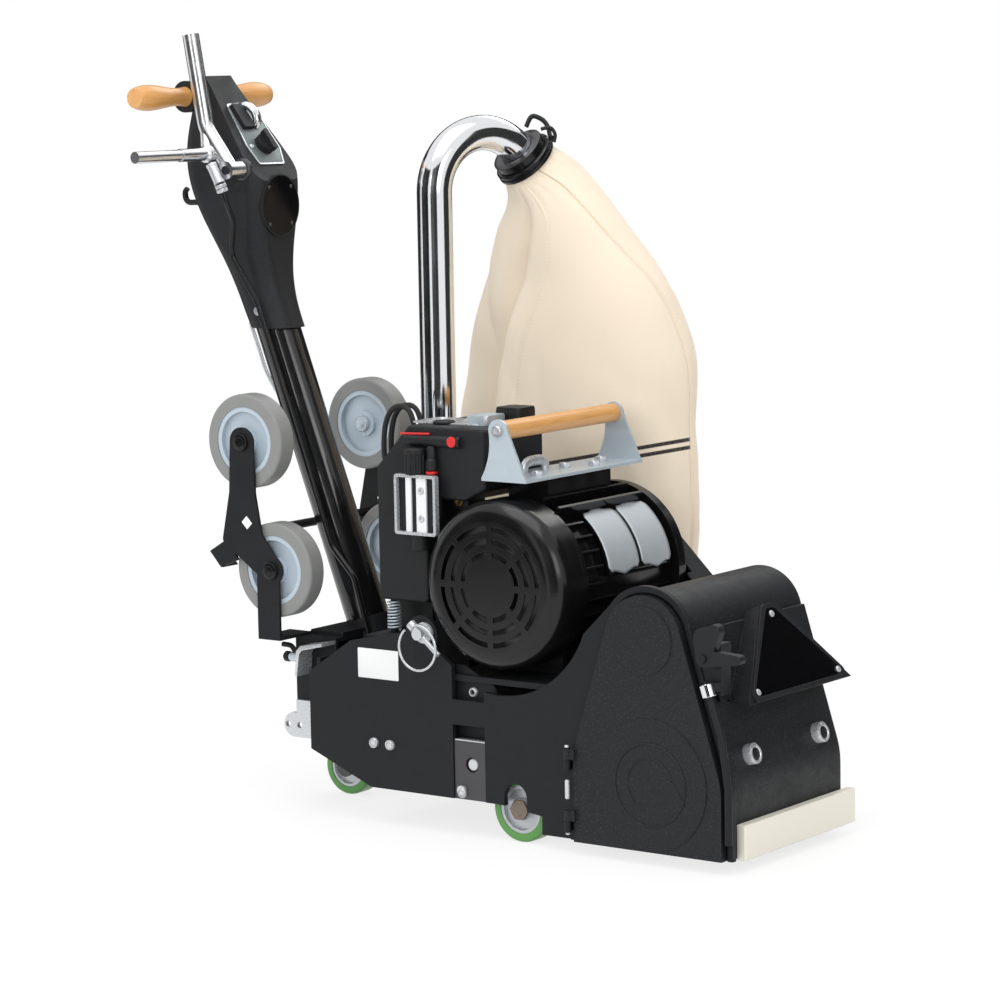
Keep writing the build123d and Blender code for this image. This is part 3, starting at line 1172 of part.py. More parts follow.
# Collar that takes the bag's mouth, on the end of the pipe
with BuildPart() as bag_collar:
    mouth = Plane(origin=pipe_end - pipe_way * COLLAR_DISC_T, x_dir=(1, 0, 0), z_dir=pipe_way)
    with BuildSketch(mouth):
        Circle(COLLAR_R)
    extrude(amount=COLLAR_L)
    with BuildSketch(mouth.offset(COLLAR_DISC_T)):
        Circle(COLLAR_R - COLLAR_RING_T)
    extrude(amount=COLLAR_L, mode=Mode.SUBTRACT)
    with BuildSketch(mouth):
        Circle(PIPE_R + SEAT)
    extrude(amount=COLLAR_DISC_T, mode=Mode.SUBTRACT)


def bag_outline(half_x, half_y, fold_share):
    """One level of the bag, drawn in where its folds run down."""
    points = []
    for step in range(BAG_POINTS):
        angle = 2 * pi * step / BAG_POINTS
        x = half_x * cos(angle)
        y = half_y * sin(angle)
        drawn_in = 0.0
        for fold_angle, depth, width in BAG_FOLDS:
            away = angle - radians(fold_angle)
            away = atan2(sin(away), cos(away)) / radians(width)
            drawn_in += fold_share * depth * exp(-away * away)
        share = 1 - drawn_in / hypot(x, y)
        points.append((x * share, y * share))
    with BuildLine() as outline:
        Spline(*points, periodic=True)
    make_face(outline.edges())


# Dust bag: a closed form from the collar down, with its main folds
with BuildPart() as dust_bag:
    bag_mouth = Plane(origin=pipe_end + pipe_way * (COLLAR_L - COLLAR_DISC_T + BAG_GAP),
                      x_dir=(1, 0, 0), z_dir=pipe_way)
    with BuildSketch(bag_mouth):
        bag_outline(BAG_NECK_R, BAG_NECK_R, 0)
    level_z, level_x, level_y, half_x, half_y, fold_share = BAG_SHOULDER
    tilt = radians(BAG_TILT_ANGLE)
    shoulder_way = heading * sin(tilt) - Vector(0, 0, cos(tilt))
    with BuildSketch(Plane(origin=(level_x, level_y, level_z), x_dir=(1, 0, 0), z_dir=shoulder_way)):
        bag_outline(half_x, half_y, fold_share)
    for level_z, level_x, level_y, half_x, half_y, fold_share in BAG_LEVELS:
        with BuildSketch(Plane(origin=(level_x, level_y, level_z), x_dir=(1, 0, 0), z_dir=(0, 0, -1))):
            bag_outline(half_x, half_y, fold_share)
    loft()

# Electrical box behind and above the motor
with BuildPart() as control_box:
    with BuildSketch(side(BOX_NEAR_Y)):
        with BuildLine():
            Polyline(
                (BOX_REAR_X, BOX_LOW_Z),
                (BOX_FRONT_X, BOX_LOW_Z),
                (BOX_FRONT_X, BOX_BELLY_Z),
                (BOX_BELLY_X, BOX_BELLY_Z),
                (PAD_REAR_X, BOX_UNDER_Z),
                (PAD_REAR_X, BOX_TOP_Z),
                (BOX_TOP_REAR_X, BOX_TOP_Z),
                (BOX_REAR_X, BOX_BEND_Z),
                close=True,
            )
        make_face()
    slab(BOX_NEAR_Y, BOX_FAR_Y)
    fillet(control_box.edges().filter_by(Axis.Y), BOX_EDGE)
    fillet(control_box.edges().group_by(Axis.Y)[0], BOX_FACE_EDGE)
    with Locations(Location(((BAR_REAR_X + BAR_FRONT_X) / 2, BOX_NEAR_Y, BAR_Z), (0, 90, 0))):
        Cylinder(BAR_R, BAR_FRONT_X - BAR_REAR_X)
    with Locations((CAN_X, BOX_NEAR_Y, (CAN_LOW_Z + CAN_TOP_Z) / 2)):
        Cylinder(CAN_R, CAN_TOP_Z - CAN_LOW_Z)
    block(SKIRT_REAR_X, SKIRT_FRONT_X, SKIRT_Y, SKIRT_Y + SKIRT_T, SKIRT_LOW_Z, BOX_LOW_Z + BOX_EDGE)
    with Locations((SPRING_X, SPRING_Y, BOX_LOW_Z + BOX_EDGE)):
        Cylinder(SPRING_ROD_R, BOX_LOW_Z + BOX_EDGE - seat_top,
                 align=(Align.CENTER, Align.CENTER, Align.MAX))

# Two short cable loops over the box's rear edge
with BuildPart() as cable_loops:
    box_pitch = (BOX_TOP_Z - BOX_BEND_Z) / (BOX_TOP_REAR_X - BOX_REAR_X)
    cable_end_z = BOX_TOP_Z - (CABLE_END_BACK - CABLE_R) * box_pitch
    for step in (-1, 1):
        y = CABLE_Y + step * CABLE_SPACING / 2
        with BuildLine() as cable_line:
            FilletPolyline(
                (BOX_REAR_X, y, BOX_BEND_Z - BOX_EDGE - 2 * CABLE_R),
                (BOX_REAR_X - CABLE_REACH, y, BOX_BEND_Z - BOX_EDGE - 2 * CABLE_R),
                (BOX_REAR_X - CABLE_REACH + CABLE_LEAN, y, CABLE_TOP_Z),
                (BOX_TOP_REAR_X - CABLE_END_BACK, y, CABLE_TOP_Z + CABLE_LEAN),
                (BOX_TOP_REAR_X - CABLE_END_BACK, y, cable_end_z),
                radius=CABLE_BEND,
            )
        with BuildSketch(Plane(origin=cable_line.line @ 0, z_dir=cable_line.line % 0)):
            Circle(CABLE_R)
        sweep(path=cable_line.line)


def helix_point(turn):
    """A point of the spring's centre line, after so many turns."""
    angle = 2 * pi * turn
    rise = (SPRING_HIGH_Z - SPRING_LOW_Z - 2 * SPRING_WIRE_R) / SPRING_TURNS
    low = SPRING_LOW_Z + SPRING_WIRE_R
    return Vector(SPRING_X + SPRING_R * cos(angle), SPRING_Y + SPRING_R * sin(angle), low + rise * turn)


def helix_way(turn):
    """The direction of the spring's centre line there."""
    angle = 2 * pi * turn
    rise = (SPRING_HIGH_Z - SPRING_LOW_Z - 2 * SPRING_WIRE_R) / SPRING_TURNS
    return Vector(-SPRING_R * sin(angle), SPRING_R * cos(angle), rise / (2 * pi)).normalized()


def biarc(start, start_way, end, end_way):
    """Two arcs that meet smoothly between two points with given directions."""
    chord = end - start
    ways = start_way + end_way
    spread = 2 * (1 - start_way.dot(end_way))
    along = chord.dot(ways)
    reach = (sqrt(along**2 + spread * chord.dot(chord)) - along) / spread
    middle = (start + end + (start_way - end_way) * reach) * 0.5
    middle_way = (end - end_way * reach) - (start + start_way * reach)
    TangentArc(start, middle, tangent=start_way)
    TangentArc(middle, end, tangent=middle_way.normalized())


# Spring under the electrical box, one unbroken wire
with BuildPart() as tension_spring:
    with BuildLine() as spring_line:
        for half in range(2 * SPRING_TURNS):
            biarc(helix_point(half / 2), helix_way(half / 2), helix_point((half + 1) / 2),
                  helix_way((half + 1) / 2))
    with BuildSketch(Plane(origin=helix_point(0), z_dir=helix_way(0))):
        Circle(SPRING_WIRE_R)
    sweep(path=spring_line.line)
spring_steps = SPRING_SAMPLES * SPRING_TURNS
spring_points = [spring_line.line @ (step / spring_steps) for step in range(spring_steps + 1)]
spring_gap = min(
    (spring_points[i] - spring_points[j]).length
    for i in range(len(spring_points))
    for j in range(i + 3 * SPRING_SAMPLES // 4, min(i + 3 * SPRING_SAMPLES // 2, len(spring_points)))
)
print("spring: least gap between turns", round(spring_gap - 2 * SPRING_WIRE_R, 2), "mm")

# Zinc bracket of the carry handle
with BuildPart() as carry_bracket:
    block(CARRY_REAR_X, CARRY_FRONT_X, CARRY_NEAR_Y, CARRY_FAR_Y, PAD_TOP_Z, PAD_TOP_Z + CARRY_T)
    for y in (CARRY_NEAR_Y, CARRY_FAR_Y - CARRY_T):
        with BuildSketch(side(y)):
            rear_foot = (CARRY_REAR_X, PAD_TOP_Z + CARRY_T)
            rear_top = (CARRY_GRIP_X - CARRY_EYE_R, CARRY_GRIP_Z)
            waist = ((rear_foot[0] + rear_top[0]) / 2 + CARRY_WAIST, (rear_foot[1] + rear_top[1]) / 2)
            with BuildLine():
                ThreePointArc(rear_foot, waist, rear_top)
                Polyline(
                    rear_top,
                    (CARRY_GRIP_X + CARRY_EYE_R, CARRY_GRIP_Z),
                    (CARRY_FRONT_X, PAD_TOP_Z),
                    (CARRY_REAR_X, PAD_TOP_Z),
                    rear_foot,
                )
            make_face()
            with Locations((CARRY_GRIP_X, CARRY_GRIP_Z)):
                Circle(CARRY_EYE_R)
        slab(y, y + CARRY_T)

with BuildPart() as carry_grip:
    disc(CARRY_GRIP_X, CARRY_GRIP_Z, CARRY_NEAR_Y + CARRY_T, CARRY_FAR_Y - CARRY_T, CARRY_GRIP_R)
    fillet(carry_grip.edges().filter_by(GeomType.CIRCLE), CARRY_GRIP_EDGE)

# Handle tube
with BuildPart() as handle_tube:
    tube_low = TUBE_BASE - TUBE_AXIS * (TUBE_SUNK - REAR_FRAME_T)
    bar(tube_low, TUBE_BASE + TUBE_AXIS * TUBE_TOP, TUBE_R)
    bar(tube_low, TUBE_BASE + TUBE_AXIS * TUBE_TOP, TUBE_R - TUBE_T, mode=Mode.SUBTRACT)

# Handle head, lofted through rounded levels and cut by the sloping panel and the crest
SLOPE_WAY = Vector(-cos(radians(HEAD_SLOPE_ANGLE)), 0, sin(radians(HEAD_SLOPE_ANGLE)))
SLOPE_OUT = Vector(sin(radians(HEAD_SLOPE_ANGLE)), 0, cos(radians(HEAD_SLOPE_ANGLE)))
slope_x, slope_z = at_head(*HEAD_SLOPE_AT)
SLOPE_FOOT = Vector(slope_x, 0, slope_z)


def slope_plane(up, y, lift=0.0):
    """A plane on the sloping panel: so far up the slope, at this Y, with local Y up the slope."""
    origin = SLOPE_FOOT + SLOPE_WAY * up + Vector(0, y, 0) + SLOPE_OUT * lift
    return Plane(origin=origin, x_dir=(0, 1, 0), z_dir=SLOPE_OUT)


with BuildPart() as handle_head:
    for rise, back, fore, half, corner in HEAD_LEVELS:
        with BuildSketch(Plane.XY.offset(HEAD_FOOT.Z + rise)):
            with Locations((HEAD_FOOT.X + (fore - back) / 2, 0)):
                RectangleRounded(fore + back, 2 * half, corner)
    loft()
    split(bisect_by=Plane(origin=SLOPE_FOOT, x_dir=(0, 1, 0), z_dir=SLOPE_OUT), keep=Keep.BOTTOM)
    crest_x, crest_z = at_head(*HEAD_CREST_AT)
    crest_way = Vector(sin(radians(HEAD_CREST_ANGLE)), 0, cos(radians(HEAD_CREST_ANGLE)))
    split(bisect_by=Plane(origin=(crest_x, 0, crest_z), x_dir=(0, 1, 0), z_dir=crest_way), keep=Keep.BOTTOM)
    disc(GRIP_X, GRIP_Z, -GRIP_BOSS_HALF, GRIP_BOSS_HALF, GRIP_BOSS_R)
    disc(LEVER_X, LEVER_Z, LEVER_HUB_OUT - LEVER_PIN_PROUD, 0, LEVER_PIN_R)
    bar(TUBE_BASE, TUBE_BASE + TUBE_AXIS * (TUBE_TOP + SEAT), TUBE_R + SEAT, mode=Mode.SUBTRACT)
    disc(GRIP_X, GRIP_Z, -GRIP_BOSS_HALF, GRIP_BOSS_HALF, GRIP_SHANK_R + SEAT, mode=Mode.SUBTRACT)
    with BuildSketch(slope_plane(ROCKER_UP, ROCKER_Y)):
        Rectangle(ROCKER_W + 2 * ROCKER_GAP, ROCKER_L + 2 * ROCKER_GAP)
    extrude(amount=-ROCKER_SUNK - ROCKER_ROOM, mode=Mode.SUBTRACT)
    with BuildSketch(slope_plane(SWITCH_UP, SWITCH_Y)):
        Circle(SWITCH_SHAFT_R + RUNNING)
    extrude(amount=-SWITCH_SHAFT_L - SWITCH_ROOM, mode=Mode.SUBTRACT)

# Turned wooden cross handle
with BuildPart() as cross_handle:
    disc(GRIP_X, GRIP_Z, -GRIP_BOSS_HALF, GRIP_BOSS_HALF, GRIP_SHANK_R)
    for way in (-1, 1):
        with BuildSketch(Plane(origin=(GRIP_X, 0, GRIP_Z), x_dir=(1, 0, 0), z_dir=(0, 0, 1))):
            start = way * GRIP_BOSS_HALF
            end = way * GRIP_HALF
            with BuildLine():
                Polyline((0, end), (0, start), (GRIP_SHOULDER_R, start))
                Spline((GRIP_SHOULDER_R, start), (GRIP_NECK_R, start + way * GRIP_NECK_AT),
                       (GRIP_BULGE_R, start + way * GRIP_BULGE_AT), (GRIP_END_R, end))
                Line((GRIP_END_R, end), (0, end))
            make_face()
        revolve(axis=Axis((GRIP_X, 0, GRIP_Z), (0, 1, 0)))

# Rotary switch and rocker on the sloping panel
with BuildPart() as rotary_knob:
    with BuildSketch(slope_plane(SWITCH_UP, SWITCH_Y, SWITCH_LIFT)):
        Circle(SWITCH_R)
    extrude(amount=SWITCH_H)
    with BuildSketch(slope_plane(SWITCH_UP, SWITCH_Y, SWITCH_LIFT + SWITCH_H)):
        RectangleRounded(POINTER_W, POINTER_L, POINTER_CORNER)
    extrude(amount=POINTER_H)
    with BuildSketch(slope_plane(SWITCH_UP, SWITCH_Y, SWITCH_LIFT)):
        Circle(SWITCH_SHAFT_R)
    extrude(amount=-SWITCH_LIFT - SWITCH_SHAFT_L)

with BuildPart() as power_rocker:
    with BuildSketch(slope_plane(ROCKER_UP, ROCKER_Y, -ROCKER_SUNK)):
        Rectangle(ROCKER_W, ROCKER_L)
    extrude(amount=ROCKER_SUNK + ROCKER_STAND)

# Lift lever: bent tube, hub, knuckle and cross bar
with BuildPart() as lift_lever:
    with BuildLine() as lever_line:
        FilletPolyline((LEVER_TOP[0], LEVER_Y, LEVER_TOP[1]), (LEVER_BEND[0], LEVER_Y, LEVER_BEND[1]),
                       (LEVER_X, LEVER_Y, LEVER_Z), radius=LEVER_BEND_R)
    with BuildSketch(Plane(origin=lever_line.line @ 0, z_dir=lever_line.line % 0)):
        Circle(LEVER_R)
    sweep(path=lever_line.line)
    disc(LEVER_X, LEVER_Z, LEVER_HUB_OUT, LEVER_HUB_IN, LEVER_HUB_R)
    knuckle = (LEVER_KNUCKLE[0], LEVER_KNUCKLE_Y, LEVER_KNUCKLE[1])
    with Locations(knuckle):
        Sphere(LEVER_KNUCKLE_R, -LEVER_KNUCKLE_FLAT_ANGLE, LEVER_KNUCKLE_FLAT_ANGLE)
    bar(knuckle, (LEVER_BEND[0], LEVER_Y, LEVER_BEND[1]), LEVER_LINK_R)
    disc(*LEVER_KNUCKLE, LEVER_BAR_END, LEVER_KNUCKLE_Y, LEVER_BAR_R)
    disc(*LEVER_KNUCKLE, LEVER_KNUCKLE_Y - LEVER_SLEEVE_L, LEVER_KNUCKLE_Y, LEVER_LINK_R)
    disc(LEVER_X, LEVER_Z, LEVER_HUB_OUT, LEVER_HUB_IN, LEVER_PIN_R + RUNNING, mode=Mode.SUBTRACT)

# Lift rod with its sleeve and nuts, beside the handle tube and down into the chassis
with BuildPart() as lift_rod:
    sleeve_top_x, sleeve_top_z = at_head(*ROD_SLEEVE_TOP_AT)
    sleeve_end_x, sleeve_end_z = at_head(*ROD_SLEEVE_END_AT)
    sleeve_end = (sleeve_end_x, ROD_SLEEVE_Y, sleeve_end_z)
    bar((sleeve_top_x, ROD_SLEEVE_Y, sleeve_top_z), sleeve_end, ROD_SLEEVE_R)
    beside_head = [(HEAD_FOOT.X - back, y, HEAD_FOOT.Z + rise) for back, y, rise in ROD_BESIDE_HEAD]
    with BuildLine() as rod_line:
        FilletPolyline(sleeve_end, *beside_head, *ROD_BELOW, radius=ROD_BEND)
    rod_start = rod_line.line @ 0
    bar(rod_start, rod_start + (rod_line.line % 0) * ROD_NUT_L, ROD_NUT_R)
    with BuildSketch(Plane(origin=rod_line.line @ 0, z_dir=rod_line.line % 0)):
        Circle(ROD_R)
    sweep(path=rod_line.line)

# Crank that carries the front wheels
with BuildPart() as wheel_crank:
    disc(CRANK_X, CRANK_Z, -PANEL_IN + CRANK_END_GAP, PANEL_IN - CRANK_END_GAP, CRANK_SHAFT_R)
    disc(CRANK_X, CRANK_Z, -BRACKET_Y + BRACKET_T, BRACKET_Y - BRACKET_T, CRANK_TUBE_R)
    for y in (-CRANK_ARM_Y, CRANK_ARM_Y):
        with BuildSketch(side(y - CRANK_ARM_T / 2)):
            round_hull((CRANK_X, CRANK_Z, CRANK_ARM_R), (FRONT_WHEEL_X, FRONT_WHEEL_R, CRANK_ARM_R))
        slab(y - CRANK_ARM_T / 2, y + CRANK_ARM_T / 2)
    with BuildSketch(side(CRANK_TAIL_Y - CRANK_ARM_T / 2)):
        round_hull((CRANK_X, CRANK_Z, CRANK_ARM_R), (CRANK_TAIL_X, CRANK_TAIL_Z, CRANK_TAIL_R))
    slab(CRANK_TAIL_Y - CRANK_ARM_T / 2, CRANK_TAIL_Y + CRANK_ARM_T / 2)
    axle_end = FRONT_WHEEL_NEAR + FRONT_WHEEL_W + FRONT_AXLE_PROUD
    disc(FRONT_WHEEL_X, FRONT_WHEEL_R, -axle_end, axle_end, FRONT_AXLE_R)

# Front wheels
front_wheels = {}
for name, near in (("near_front", -FRONT_WHEEL_NEAR - FRONT_WHEEL_W), ("far_front", FRONT_WHEEL_NEAR)):
    far = near + FRONT_WHEEL_W
    front_wheels[name + "_tyre"] = tyre(FRONT_WHEEL_X, FRONT_WHEEL_R, near, far, FRONT_WHEEL_R,
                                        FRONT_HUB_R, FRONT_TYRE_EDGE)
    front_wheels[name + "_hub"] = hub(FRONT_WHEEL_X, FRONT_WHEEL_R, near + HUB_INSET, far - HUB_INSET,
                                      FRONT_HUB_R, FRONT_AXLE_R + RUNNING, FRONT_HUB_LIP, FRONT_HUB_DISH,
                                      FRONT_BOSS_R)

# Rear caster
CASTER_WHEEL_X = CASTER_X - CASTER_TRAIL
with BuildPart() as caster_fork:
    fork_top = REAR_FRAME_LOW_Z - FORK_CLEAR
    fork_in = CASTER_W / 2 + FORK_GAP
    with Locations((CASTER_X, 0, fork_top)):
        Cylinder(FORK_PLATE_R, FORK_T, align=(Align.CENTER, Align.CENTER, Align.MAX))
        Cylinder(FORK_STEM_R, FORK_STEM_L, align=(Align.CENTER, Align.CENTER, Align.MIN))
    for y in (-fork_in - FORK_T, fork_in):
        with BuildSketch(side(y)):
            round_hull((CASTER_X, fork_top - FORK_LEG_R, FORK_LEG_R), (CASTER_WHEEL_X, CASTER_R, FORK_LEG_R))
        slab(y, y + FORK_T)
    disc(CASTER_WHEEL_X, CASTER_R, -fork_in - FORK_T, fork_in + FORK_T, CASTER_AXLE_R)

caster_tyre = tyre(CASTER_WHEEL_X, CASTER_R, -CASTER_W / 2, CASTER_W / 2, CASTER_R, CASTER_HUB_R,
                   CASTER_TYRE_EDGE)
caster_hub = hub(CASTER_WHEEL_X, CASTER_R, -CASTER_W / 2 + HUB_INSET, CASTER_W / 2 - HUB_INSET, CASTER_HUB_R,
                 CASTER_AXLE_R + RUNNING, CASTER_HUB_LIP, CASTER_HUB_DISH, CASTER_BOSS_R)

# Transport carriage: two arms with straps, and the bar between them
with BuildPart() as transport_arms:
    strap_top = CARRIAGE_LOWER[1]
    for way in (-1, 1):
        out = way * (ARM_Y + ARM_T)
        near = min(way * ARM_Y, out)
        with BuildSketch(side(near)):
            heel = (*ARM_HEEL, ARM_HEEL_R)
            elbow = (*ARM_ELBOW, ARM_HEEL_R)
            waist = (*ARM_WAIST, ARM_WAIST_R)
            round_hull((*CARRIAGE_UPPER, ARM_TOP_R), waist)
            round_hull(waist, heel, elbow)
            round_hull(heel, (*CARRIAGE_LOWER, ARM_LOW_R), elbow)
            with Locations(((STRAP_REAR_X + STRAP_FRONT_X) / 2, (strap_top + DECK_Z) / 2)):
                Rectangle(STRAP_FRONT_X - STRAP_REAR_X, strap_top - DECK_Z)
            lug = [(REAR_FRAME_X - back, DECK_Z + rise) for back, rise in (LUG_TIP, LUG_FOOT, LUG_ROOT)]
            with BuildLine():
                Polyline(ARM_HEEL, *lug, close=True)
            make_face()
            with Locations((REAR_FRAME_X - ARM_HOLE_BACK, DECK_Z + ARM_HOLE_RISE)):
                RegularPolygon(ARM_HOLE_R, 4, mode=Mode.SUBTRACT)
        slab(near, near + ARM_T)
        fold = way * (ARM_Y - LUG_DEPTH)
        with BuildSketch(side(min(out, fold))):
            with BuildLine():
                Polyline(lug[0], lug[1], *[(x + ARM_T, z) for x, z in (lug[1], lug[0])], close=True)
            make_face()
        slab(min(out, fold), max(out, fold))
        block(STRAP_REAR_X, STRAP_FRONT_X, out, way * STRAP_FOOT_IN, DECK_Z, DECK_Z + ARM_T)
        for x, z in (CARRIAGE_UPPER, CARRIAGE_LOWER):
            clip = CARRIAGE_NEAR - CARRIAGE_CLIP_GAP
            disc(x, z, out + way * BOLT_H, way * (clip - CARRIAGE_CLIP_T), CARRIAGE_AXLE_R)
            disc(x, z, out + way * BOLT_H, out, CARRIAGE_HEAD_R)
            disc(x, z, way * clip, way * (clip - CARRIAGE_CLIP_T), CARRIAGE_CLIP_R)
    disc(CROSS_X, CROSS_Z, -ARM_Y + SEAT, ARM_Y - SEAT, CROSS_R)

# Transport wheels
transport_wheels = {}
for level, (wheel_x, wheel_z) in (("upper", CARRIAGE_UPPER), ("lower", CARRIAGE_LOWER)):
    for hand, near in (("near", -CARRIAGE_NEAR - CARRIAGE_WHEEL_W), ("far", CARRIAGE_NEAR)):
        name = f"{level}_{hand}_transport"
        far = near + CARRIAGE_WHEEL_W
        transport_wheels[name + "_tyre"] = tyre(wheel_x, wheel_z, near, far, CARRIAGE_WHEEL_R,
                                                CARRIAGE_HUB_R, CARRIAGE_TYRE_EDGE)
        transport_wheels[name + "_hub"] = hub(wheel_x, wheel_z, near + HUB_INSET, far - HUB_INSET,
                                              CARRIAGE_HUB_R, CARRIAGE_AXLE_R + RUNNING, CARRIAGE_HUB_LIP,
                                              CARRIAGE_HUB_DISH, CARRIAGE_BOSS_R)

# Locking pin through the stud on the panel's ear, and its wire ring
LOCK_WAY = Vector(cos(radians(LOCK_PIN_ANGLE)), 0, sin(radians(LOCK_PIN_ANGLE)))
LOCK_AT = Vector(STUD_X, -CHASSIS_HALF - LOCK_Y, STUD_Z)
with BuildPart() as lock_pin:
    bar(LOCK_AT - LOCK_WAY * LOCK_PIN_BACK, LOCK_AT + LOCK_WAY * LOCK_PIN_FORE, LOCK_PIN_R)
    bar(LOCK_AT - LOCK_WAY * (LOCK_PIN_BACK + LOCK_HEAD_L), LOCK_AT - LOCK_WAY * LOCK_PIN_BACK, LOCK_HEAD_R)

with BuildPart() as lock_ring:
    lock_head = LOCK_AT - LOCK_WAY * (LOCK_PIN_BACK + LOCK_HEAD_L / 2)
    ring_x, ring_z = on_circle(lock_head.X, lock_head.Z, LOCK_RING_R, LOCK_RING_TURN_ANGLE)
    ring_y = LOCK_AT.Y - LOCK_RING_STEP
    with BuildLine(side(ring_y)) as ring_line:
        CenterArc((ring_x, ring_z), LOCK_RING_R, LOCK_RING_TURN_ANGLE - LOCK_RING_SWEEP_ANGLE / 2,
                  LOCK_RING_SWEEP_ANGLE)
    with BuildSketch(Plane(origin=ring_line.line @ 0, z_dir=ring_line.line % 0)):
        Circle(LOCK_RING_WIRE)
    sweep(path=ring_line.line)

# Bolts, ringed front bolts, and the stud with its flange
with BuildPart() as fasteners:
    for x in (PANEL_BOLT_REAR_X, PANEL_BOLT_FRONT_X):
        disc(x, PANEL_BOLT_Z, -CHASSIS_HALF - BOLT_H, -CHASSIS_HALF, BOLT_R)
    disc(STEP_X + LATCH_BOLT_IN, BELLY_Z + LATCH_BOLT_RISE, plate_face - BOLT_H, plate_face, BOLT_R)
    knob_lean = tan(radians(KNOB_LEAN_ANGLE))
    knob_x = DOOR_FRONT_X + HOUSING_GROW - (KNOB_Z - DOOR_KNEE_FRONT_Z) * knob_lean
    for y in (-CHASSIS_HALF + KNOB_NEAR_INSET, HOUSING_FAR_Y - KNOB_FAR_INSET):
        bar((knob_x - KNOB_H, y, KNOB_Z), (knob_x + KNOB_H, y, KNOB_Z + 2 * KNOB_H * knob_lean), KNOB_R)
    with BuildSketch(side(-PANEL_IN)):
        door_outline(HOUSING_GROW)
    slab(-PANEL_IN, PANEL_IN, mode=Mode.SUBTRACT)
    disc(STUD_X, STUD_Z, -CHASSIS_HALF - STUD_OUT, -PANEL_IN, STUD_R)
    disc(STUD_X, STUD_Z, -CHASSIS_HALF - STUD_FLANGE_T, -CHASSIS_HALF, STUD_FLANGE_R)
    bar(LOCK_AT - LOCK_WAY * LOCK_PIN_FORE, LOCK_AT + LOCK_WAY * LOCK_PIN_FORE, LOCK_PIN_R + RUNNING,
        mode=Mode.SUBTRACT)
    for y, out in ((CARRY_NEAR_Y, -1), (CARRY_FAR_Y, 1)):
        disc(CARRY_GRIP_X, CARRY_GRIP_Z, y, y + out * CARRY_BOLT_H, CARRY_BOLT_R)

# One file for each piece
PIECES = {
    "near_side_panel": near_side_panel,
    "far_side_panel": far_side_panel,
    "base_plate": base_plate,
    "rear_frame": rear_frame,
    "hitch_plate": hitch_plate,
    "latch_plate": latch_plate,
    "drum_housing": drum_housing,
    "front_hood": front_hood,
    "front_bumper": front_bumper,
    "belt_door": belt_door,
    "latch_rod": latch_rod,
    "latch_lever": latch_lever,
    "sanding_drum": sanding_drum,
    "drum_shaft": drum_shaft,
    "tension_roller": tension_roller,
    "abrasive_belt": abrasive_belt,
    "bearings": bearings,
    "motor_frame": motor_frame,
    "fan_cover": fan_cover,
    "motor_rotor": motor_rotor,
    "motor_base": motor_base,
    "drive_belts": drive_belts,
    "belt_guard": belt_guard,
    "suction_housing": suction_housing,
    "impeller": impeller,
    "suction_pipe": suction_pipe,
    "bag_collar": bag_collar,
    "dust_bag": dust_bag,
    "control_box": control_box,
    "cable_loops": cable_loops,
    "tension_spring": tension_spring,
    "carry_bracket": carry_bracket,
    "carry_grip": carry_grip,
    "handle_tube": handle_tube,
    "handle_head": handle_head,
    "cross_handle": cross_handle,
    "rotary_knob": rotary_knob,
    "power_rocker": power_rocker,
    "lift_lever": lift_lever,
    "lift_rod": lift_rod,
    "wheel_crank": wheel_crank,
    "caster_fork": caster_fork,
    "caster_tyre": caster_tyre,
    "caster_hub": caster_hub,
    "transport_arms": transport_arms,
    "lock_pin": lock_pin,
    "lock_ring": lock_ring,
    "fasteners": fasteners,
    **front_wheels,
    **transport_wheels,
}

os.makedirs("parts", exist_ok=True)
for name, piece in PIECES.items():
    piece.part.label = name
    export_step(piece.part, f"parts/{name}.step")
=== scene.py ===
import math

import bmesh
import bpy
from mathutils import Matrix, Vector, noise as field


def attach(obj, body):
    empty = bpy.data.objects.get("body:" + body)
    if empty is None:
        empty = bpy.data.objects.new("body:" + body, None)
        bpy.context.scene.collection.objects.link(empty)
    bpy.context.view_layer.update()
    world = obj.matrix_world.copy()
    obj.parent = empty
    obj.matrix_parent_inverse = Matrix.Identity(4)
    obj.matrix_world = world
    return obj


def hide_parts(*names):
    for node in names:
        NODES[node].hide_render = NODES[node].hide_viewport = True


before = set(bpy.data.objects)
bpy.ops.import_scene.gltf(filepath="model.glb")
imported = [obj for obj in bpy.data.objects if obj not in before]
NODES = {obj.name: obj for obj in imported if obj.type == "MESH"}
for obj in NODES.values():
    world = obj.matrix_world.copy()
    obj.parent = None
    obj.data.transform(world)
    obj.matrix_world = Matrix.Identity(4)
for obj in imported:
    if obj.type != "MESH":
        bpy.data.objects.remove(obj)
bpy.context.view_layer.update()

MM = 0.001
NEAR = (0, -1, 0)
FAR = (0, 1, 0)
TOP = (0, 0, 1)
FRONT = (1, 0, 0)
BACK = (-1, 0, 0)
scene = bpy.context.scene


def mm(x, y, z):
    """A point given in millimetres."""
    return Vector((x, y, z)) * MM


def add_object(name, data):
    """An object that is linked to the scene."""
    made = bpy.data.objects.new(name, data)
    scene.collection.objects.link(made)
    return made


# Materials

# The sockets of a mix node that hold colours
MIX_FACTOR = 0
MIX_UNDER = 6
MIX_OVER = 7
MIX_RESULT = 2
# An edge is where the rounded normal turns away from the plain one
BEVEL_SAMPLES = 4
EDGE_FULL = 0.8
EDGE_NONE = 0.995
# Paint: the pale tone of flecks and rubbed edges, how fine edges are rubbed and how fine the gloss varies
PALE_GAIN = 2.2
PALE_LIFT = 0.03
RUB_SCALE = 160
GLOSS_FINE = 2.6
FLECK_FROM = 0.56
FLECK_TO = 0.72
COAT_ROUGH = 0.08
PLATED_DEPTH = 0.000004


